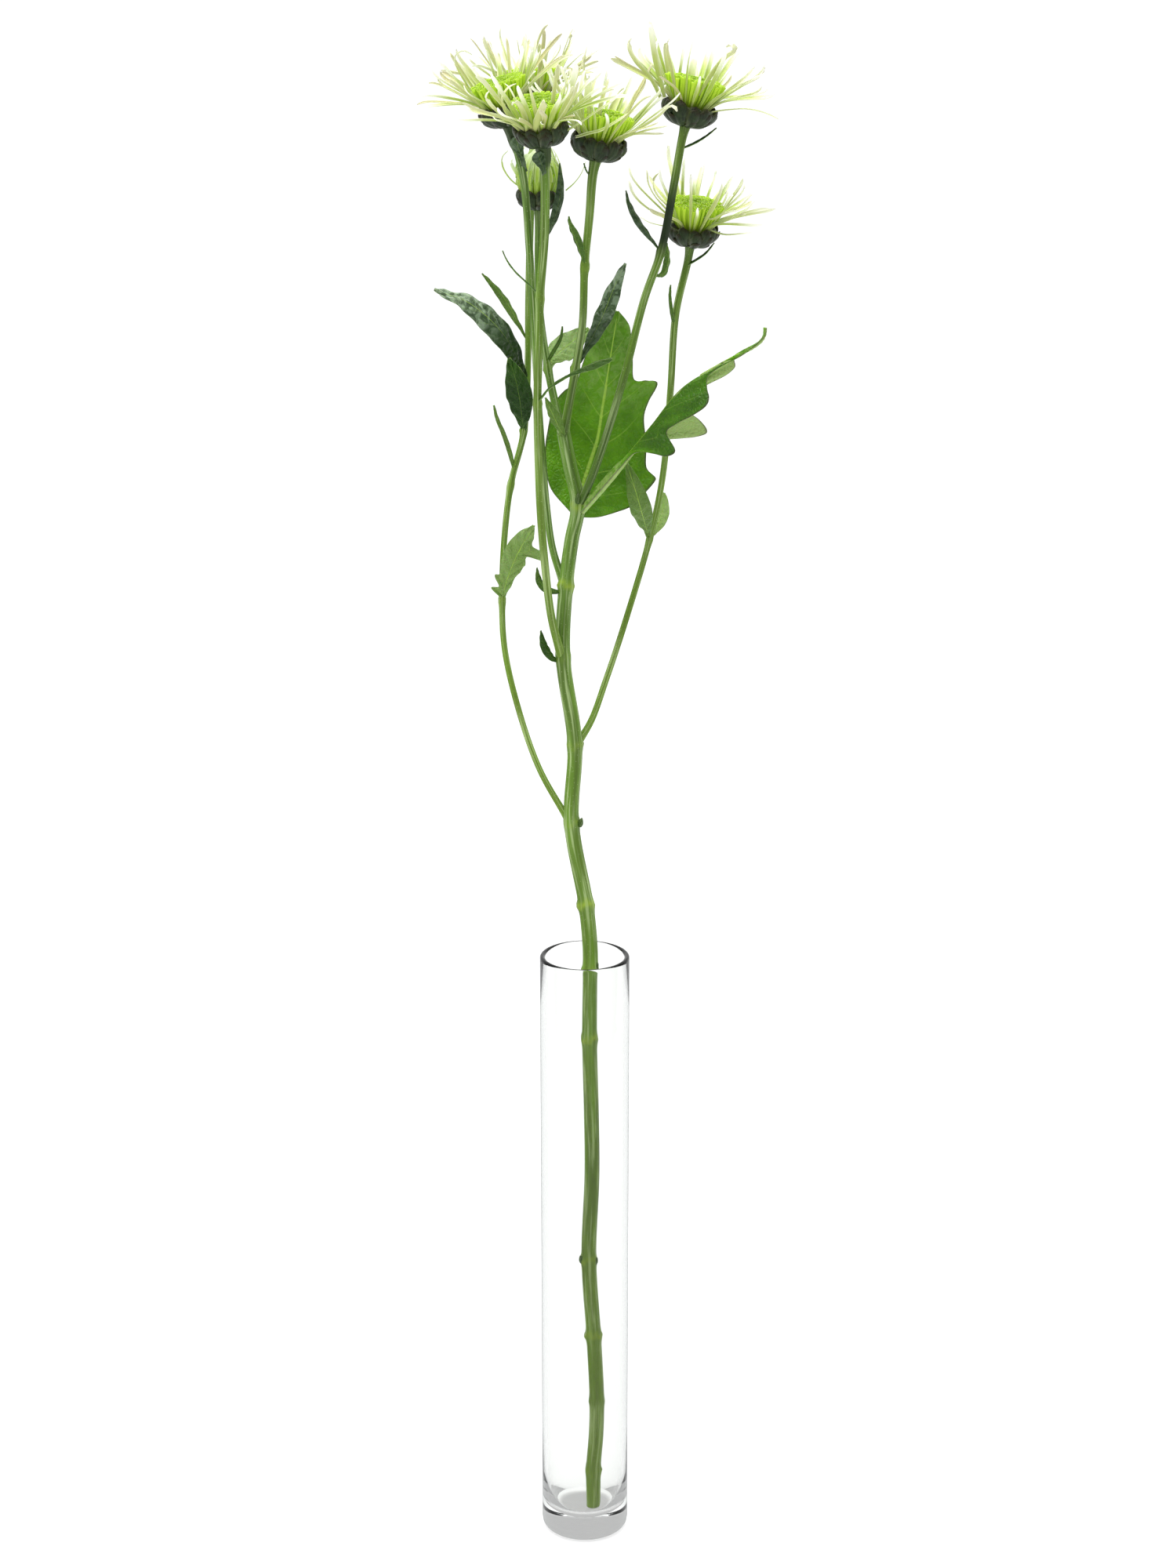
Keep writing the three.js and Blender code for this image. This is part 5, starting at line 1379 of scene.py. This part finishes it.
def build_floret(q, flare, top, draws):
    """Rings of one disc floret, on the X side of the head: q is 0 at the disc's middle and 1 at its rim."""
    turn = circle(FLORET_SIDES)
    foot = np.array([(DISC_COLUMN - 0.5) * q, 0, DISC_SEAT])
    tip_radius = (DISC_RADIUS * flare - 0.35) * q + draws.draw(-0.2, 0.2)
    tip = np.array([tip_radius, draws.draw(-0.25, 0.25), top + 0.3 - 0.9 * q**4 + draws.draw(-0.5, 0.4)])
    knee = np.array([foot[0] + 0.8 * (tip_radius - foot[0]), 0, foot[2] + 0.42 * (tip[2] - foot[2])])
    t = FLORET_STATIONS[:, None]
    spine = foot * (1 - t)**2 + 2 * knee * t * (1 - t) + tip * t**2
    along = unit(2 * (knee - foot) * (1 - t) + 2 * (tip - knee) * t)
    x = unit(np.cross([0, 1, 0], along))
    y = np.cross(along, x)
    size = 0.92 * flare * draws.draw(0.9, 1.08)
    star = np.where(np.arange(FLORET_SIDES) % 2, 0.74, 1.0)
    rings = []
    for s, width in enumerate(FLORET_WIDTHS):
        ring = np.outer(np.cos(turn), x[s]) + np.outer(np.sin(turn), y[s])
        form = star if s > 4 else np.ones(FLORET_SIDES)
        rings.append(spine[s] + (width * size * form)[:, None] * ring)
    for depth, width in FLORET_MOUTH:
        rings.append(spine[-1] - along[-1] * depth + width * size * ring)
    return np.array(rings)


def build_disc(key, head, material):
    """A tight cushion of tubular florets that flare to small five-lobed mouths."""
    flare = 1 if head["open"] else 0.74
    top = DISC_HEIGHT * (1 if head["open"] else 0.92)
    draws = Draws(head["seed"] + 11)
    mould = Mould()
    golden = math.pi * (3 - math.sqrt(5))
    for k in range(FLORETS_PER_DISC):
        q = math.sqrt((k + 0.5) / FLORETS_PER_DISC)
        rings = spin(build_floret(q, flare, top, draws), k * golden)
        own = 0.3 * draws.draw(0, 1) + 0.7 * (1 - q)
        # The two rings inside each floret's mouth get painted shade.
        mouth = np.zeros((len(rings), FLORET_SIDES + 1))
        mouth[-2:] = [[0.55], [1]]
        draw = np.stack([np.full_like(mouth, own), mouth], axis=-1)
        mould.skin(on_head(head, rings), along=np.append(FLORET_STATIONS, (0.97, 0.9)), draw=draw)
    place(mould.cast(f"disc_{key}", material), "disc_floret", f"head_{key}_disc")


def ray_path(ray):
    """Points of one ray floret in its head's own axes, and its direction at each."""
    share = RAY_SHARE
    hooked = np.maximum(0, share - HOOK_FROM) / (1 - HOOK_FROM)
    rise = np.radians(ray["rise"] + (ray["first"] - ray["rise"]) * np.exp(-7 * share) + ray["bend"] * share
                      + ray["hook"] * hooked**2)
    swing = np.radians(ray["swing"] * share * share)
    steps = np.stack([np.cos(rise) * np.cos(swing), np.cos(rise) * np.sin(swing), np.sin(rise)], axis=1)
    walked = np.vstack([np.zeros(3), np.cumsum(steps[:-1], axis=0)])
    at = np.array([RAY_ROOT_RADIUS, 0, RAY_ROOT_HEIGHT]) + ray["length"] / RAY_STEPS * walked
    turn = math.radians(ray["turn"])
    return spin(at, turn), spin(steps, turn)


def draw_ray(head, draws, k, count):
    """One draw of a ray floret, the k-th of count round a head: every second one belongs to the upper row."""
    upper = k % 2
    draw = draws.draw
    ray = {"turn": 360 * (k + draw(-0.3, 0.3)) / count}
    if head["open"]:
        ray["rise"] = draw(44, 66) if upper else draw(13, 36)
        ray.update(bend=draw(-14, 4), hook=draw(-40, 75), swing=draw(-26, 26),
                   length=RAY_LENGTH * draw(0.78, 1.12), width=RAY_WIDTH * draw(0.75, 1.2), first=58)
    else:
        ray["rise"] = draw(78, 86) - (40 if k % 9 == 4 else 0)
        ray.update(bend=draw(2, 12), hook=draw(40, 90), swing=draw(-14, 14),
                   length=RAY_LENGTH * draw(0.62, 0.86), width=RAY_WIDTH * draw(0.8, 1.05), first=70)
    return ray


class Beads:
    """Beads that stand for what a floret keeps clear of: centre, radius, head, and whether it is a floret."""

    def __init__(self):
        self.at, self.radius, self.head, self.is_ray = [], [], [], []

    def add(self, at, radius, head, is_ray=False):
        self.at.append(at)
        self.radius.append(radius)
        self.head.append(head)
        self.is_ray.append(is_ray)

    def ready(self):
        return np.array(self.at), np.array(self.radius), np.array(self.head), np.array(self.is_ray)


def plant_beads():
    """Beads along every stalk and up the middle of every head."""
    beads = Beads()
    for name, stalk in STALKS.items():
        route = stalk_route(name)
        count = round(route.length / 2)
        owner = name.replace("shoot_", "") if head_of(name) else ""
        for i in range(count + 1):
            beads.add(route.at(i / count), girth_at(stalk["girth"], i / count) + 0.2, owner)
    for key, head in HEADS.items():
        for height, radius in HEAD_BEADS:
            beads.add(on_head(head, [0, 0, height]), radius * head["size"], key)
    return beads


def clear_ray(head, key, ray, known, clear, own_rays=True):
    """The first change of a ray floret that touches no bead, with its points, or None."""
    at, radius, owner, is_ray = known
    other = owner != key
    own_ray = is_ray & ~other if own_rays else np.zeros(len(owner), bool)
    for turn, rise, share in RAY_TRIES:
        tried = {**ray, "turn": ray["turn"] + turn, "rise": ray["rise"] + rise}
        tried["length"] *= share
        points = on_head(head, ray_path(tried)[0])
        near = np.linalg.norm(points[:, None] - at[None], axis=2) < radius + clear
        if near[:, other].any() or near[ROOT_STEPS + 1:, own_ray].any():
            continue
        return tried, points
    return None


def place_crowns():
    """The florets of each head's crown, each clear of all that is placed before it, and all the beads."""
    beads = plant_beads()
    placed = {key: [] for key in HEADS}
    for key, head in HEADS.items():
        draws = Draws(head["seed"])
        for k in range(RAYS_PER_HEAD):
            ray = draw_ray(head, draws, k, RAYS_PER_HEAD)
            found = clear_ray(head, key, ray, beads.ready(), RAY_CLEAR)
            if found is None:
                continue
            placed[key].append(found[0])
            for i, at in enumerate(found[1]):
                beads.add(at, RAY_CLEAR if i > ROOT_STEPS else 0.5, key, i > ROOT_STEPS)
    return placed, beads


def fill_crowns(placed, beads):
    """More florets between those of the crowns, clear of the stalks and the other heads."""
    known = beads.ready()
    for key, head in HEADS.items():
        draws = Draws(head["seed"] + 1)
        for k in range(EXTRA_RAYS):
            ray = draw_ray(head, draws, k, EXTRA_RAYS)
            backward = math.sin(math.radians(ray["turn"]))
            if head["front"] < 0.9 and backward < -0.6 or backward > head.get("back", 1):
                continue
            if head["open"]:
                ray["rise"] += draws.draw(-4, 12) + 14 * max(0, backward)
                ray["length"] *= draws.draw(0.72, 0.98)
                ray["width"] *= draws.draw(0.6, 1)
            else:
                ray.update(first=draws.draw(25, 50), rise=draws.draw(60, 72), bend=draws.draw(70, 105),
                           hook=0, width=RAY_WIDTH * draws.draw(0.7, 1.1))
            found = clear_ray(head, key, ray, known, EXTRA_CLEAR, own_rays=False)
            if found is not None:
                placed[key].append(found[0])


def in_bare_place(head, ray):
    """True where the head has no random florets."""
    middle, reach, from_rise, to_rise = head.get("bare", (0, 0, 0, 0))
    return abs((ray["turn"] - middle + 180) % 360 - 180) < reach and from_rise < ray["rise"] < to_rise


def ray_ways(key, head, rays, draws):
    """Middle line, direction, turn, half width, twist and range of warmth of each ray floret of a head."""
    ways = []
    for ray in rays:
        if not head["open"] and ray["rise"] > CLOSED_ABOVE:
            ray = {**ray, "rise": ray["rise"] - 16, "bend": ray["bend"] + 66, "hook": 0}
        turn = math.radians(ray["turn"])
        facing = max(0, -math.sin(turn))**0.5
        strap = 0.5 * ray["width"] * draws.draw(0.8, 1.5) * (1 - (1 - head["front"]) * facing)
        twist_to = draws.draw(-85, 85)
        if not in_bare_place(head, ray):
            ways.append((*ray_path(ray), turn, strap, twist_to, (0, 1)))
    for width, points in DRAWN_RAYS.get(key, ()):
        route = Route(off_head(head, points))
        at, along = route.at(RAY_SHARE), route.along(RAY_SHARE)
        turn = math.atan2(at[0, 1], at[0, 0])
        ways.append((at, along, turn, 0.5 * width / head["size"], DRAWN_TWIST, DRAWN_WARMTH))
    return ways


def build_rays(key, head, rays, material):
    """Strap florets, rolled to a quill at the root, that open to a shallow channel with a blunt tip."""
    mould = Mould()
    draws = Draws(head["seed"] + 23)
    cross = np.linspace(-1, 1, 7)
    share = RAY_SHARE
    blunt = np.sqrt(np.clip(1 - np.maximum(0, (share - 0.88) / 0.12)**2, 0.05, 1))
    taper = blunt * (0.72 + 0.28 * np.sin(np.pi * np.clip(share, 0, 0.8) / 0.9))
    for at, along, turn, strap, twist_to, warmth in ray_ways(key, head, rays, draws):
        side = np.array([-math.sin(turn), math.cos(turn), 0])
        side = unit(side - (along @ side)[:, None] * along)
        up = np.cross(along, side)
        up = up * np.where(up[:, 2:] < 0, -1, 1)
        twist = np.radians(twist_to) * share
        cos, sin = np.cos(twist)[:, None], np.sin(twist)[:, None]
        side, up = cos * side + sin * up, cos * up - sin * side
        roll = np.radians(ROLL_AT_ROOT - draws.draw(100, 195) * smoothstep(0.0, 0.5, share))
        arc = strap * taper * 2 / roll
        angle = cross[None, :] * roll[:, None] / 2
        upper = (at[:, None] + (arc[:, None] * np.sin(angle))[..., None] * side[:, None]
                 + (arc[:, None] * (1 - np.cos(angle)))[..., None] * up[:, None])
        normal = -np.sin(angle)[..., None] * side[:, None] + np.cos(angle)[..., None] * up[:, None]
        lower = upper - normal * RAY_THICKNESS
        rings = np.concatenate([upper, lower[:, ::-1]], axis=1)
        mould.skin(on_head(head, rings), across=there_and_back((cross + 1) / 2), along=share,
                   draw=(draws.draw(*warmth), 1 - head["open"]))
    place(mould.cast(f"rays_{key}", material), "ray_floret", f"head_{key}_rays")


# Studio


def build_floor(material):
    """A square of white floor around the vase."""
    half = FLOOR_HALF
    mesh = bpy.data.meshes.new("floor")
    corners = [(-half, -half, 0), (half, -half, 0), (half, half, 0), (-half, half, 0)]
    mesh.from_pydata(corners, [], [(0, 1, 2, 3)])
    mesh.materials.append(material)
    floor = bpy.data.objects.new("floor", mesh)
    bpy.context.scene.collection.objects.link(floor)


def add_light(name, place_at, target, size, power):
    """A round soft light at a place, turned to its target."""
    data = bpy.data.lights.new(name, "AREA")
    data.shape = "DISK"
    data.size = size
    data.energy = power
    light = bpy.data.objects.new(name, data)
    light.location = place_at
    light.rotation_euler = (Vector(target) - Vector(place_at)).to_track_quat("-Z", "Y").to_euler()
    bpy.context.scene.collection.objects.link(light)


def build_studio():
    """Soft lights in a white room, grey behind the viewer and at the flanks to show the glass's edges."""
    world = bpy.data.worlds.new("studio")
    bpy.context.scene.world = world
    world.use_nodes = True
    tree = world.node_tree
    background = tree.nodes["Background"]
    heading = node(tree, "ShaderNodeTexCoord").outputs["Generated"]
    x, y, _ = node(tree, "ShaderNodeSeparateXYZ", {0: heading}).outputs
    behind_viewer = ramp(tree, y, 0.1, -0.6)
    flank = ramp(tree, maths(tree, "ABSOLUTE", x), 0.75, 0.95)
    grey = maths(tree, "MAXIMUM", behind_viewer, flank)
    tree.links.new(blend_colour(tree, grey, TINTS["white"], TINTS["room grey"]), background.inputs["Color"])
    background.inputs["Strength"].default_value = ROOM_BRIGHTNESS
    for light in LIGHTS:
        add_light(*light)
    bpy.context.scene.view_settings.view_transform = "Standard"


def build_camera():
    """The camera of the photograph."""
    data = bpy.data.cameras.new("photo camera")
    data.lens = CAMERA_LENS
    data.sensor_width = CAMERA_SENSOR
    data.clip_start = 0.05
    data.clip_end = 200
    camera = bpy.data.objects.new("photo camera", data)
    camera.location = CAMERA_PLACE
    camera.rotation_euler = (math.radians(90 - CAMERA_DOWN), 0, 0)
    bpy.context.scene.collection.objects.link(camera)
    bpy.context.scene.camera = camera


build_camera()
build_studio()
build_floor(make_floor_material())
STALK = make_stalk_material()
SOFT_LEAF = make_leaf_material("soft leaf blade", 0, LEAF_COLOURS, LEAF_EDGE)
GLOSSY_LEAF = make_leaf_material("glossy leaf blade", 1, GLOSSY_COLOURS, GLOSSY_EDGE)
BACKLIT_LEAF = make_leaf_material("backlit leaf blade", 0, BACKLIT_COLOURS, BACKLIT_EDGE)
build_vase(make_glass_material())
for stalk_name in STALKS:
    build_stalk(stalk_name, STALK, SOFT_LEAF)
build_buds(STALK)
for leaf_name, leaf_form in LEAVES.items():
    if leaf_name.startswith("sliver"):
        continue
    leaf_finish = SOFT_LEAF
    if leaf_name in BACKLIT_LEAVES:
        leaf_finish = BACKLIT_LEAF
    elif leaf_form["tone"] < GLOSSY_BELOW and leaf_name not in DULL_LEAVES:
        leaf_finish = GLOSSY_LEAF
    build_leaf(leaf_name, leaf_form, leaf_finish)
BRACT = make_bract_material()
LIME = make_disc_material()
CREAM = make_ray_material()
crowns, crown_beads = place_crowns()
fill_crowns(crowns, crown_beads)
for head_key, head_form in HEADS.items():
    build_cup(head_key, head_form, BRACT)
    build_disc(head_key, head_form, LIME)
    build_rays(head_key, head_form, crowns[head_key], CREAM)
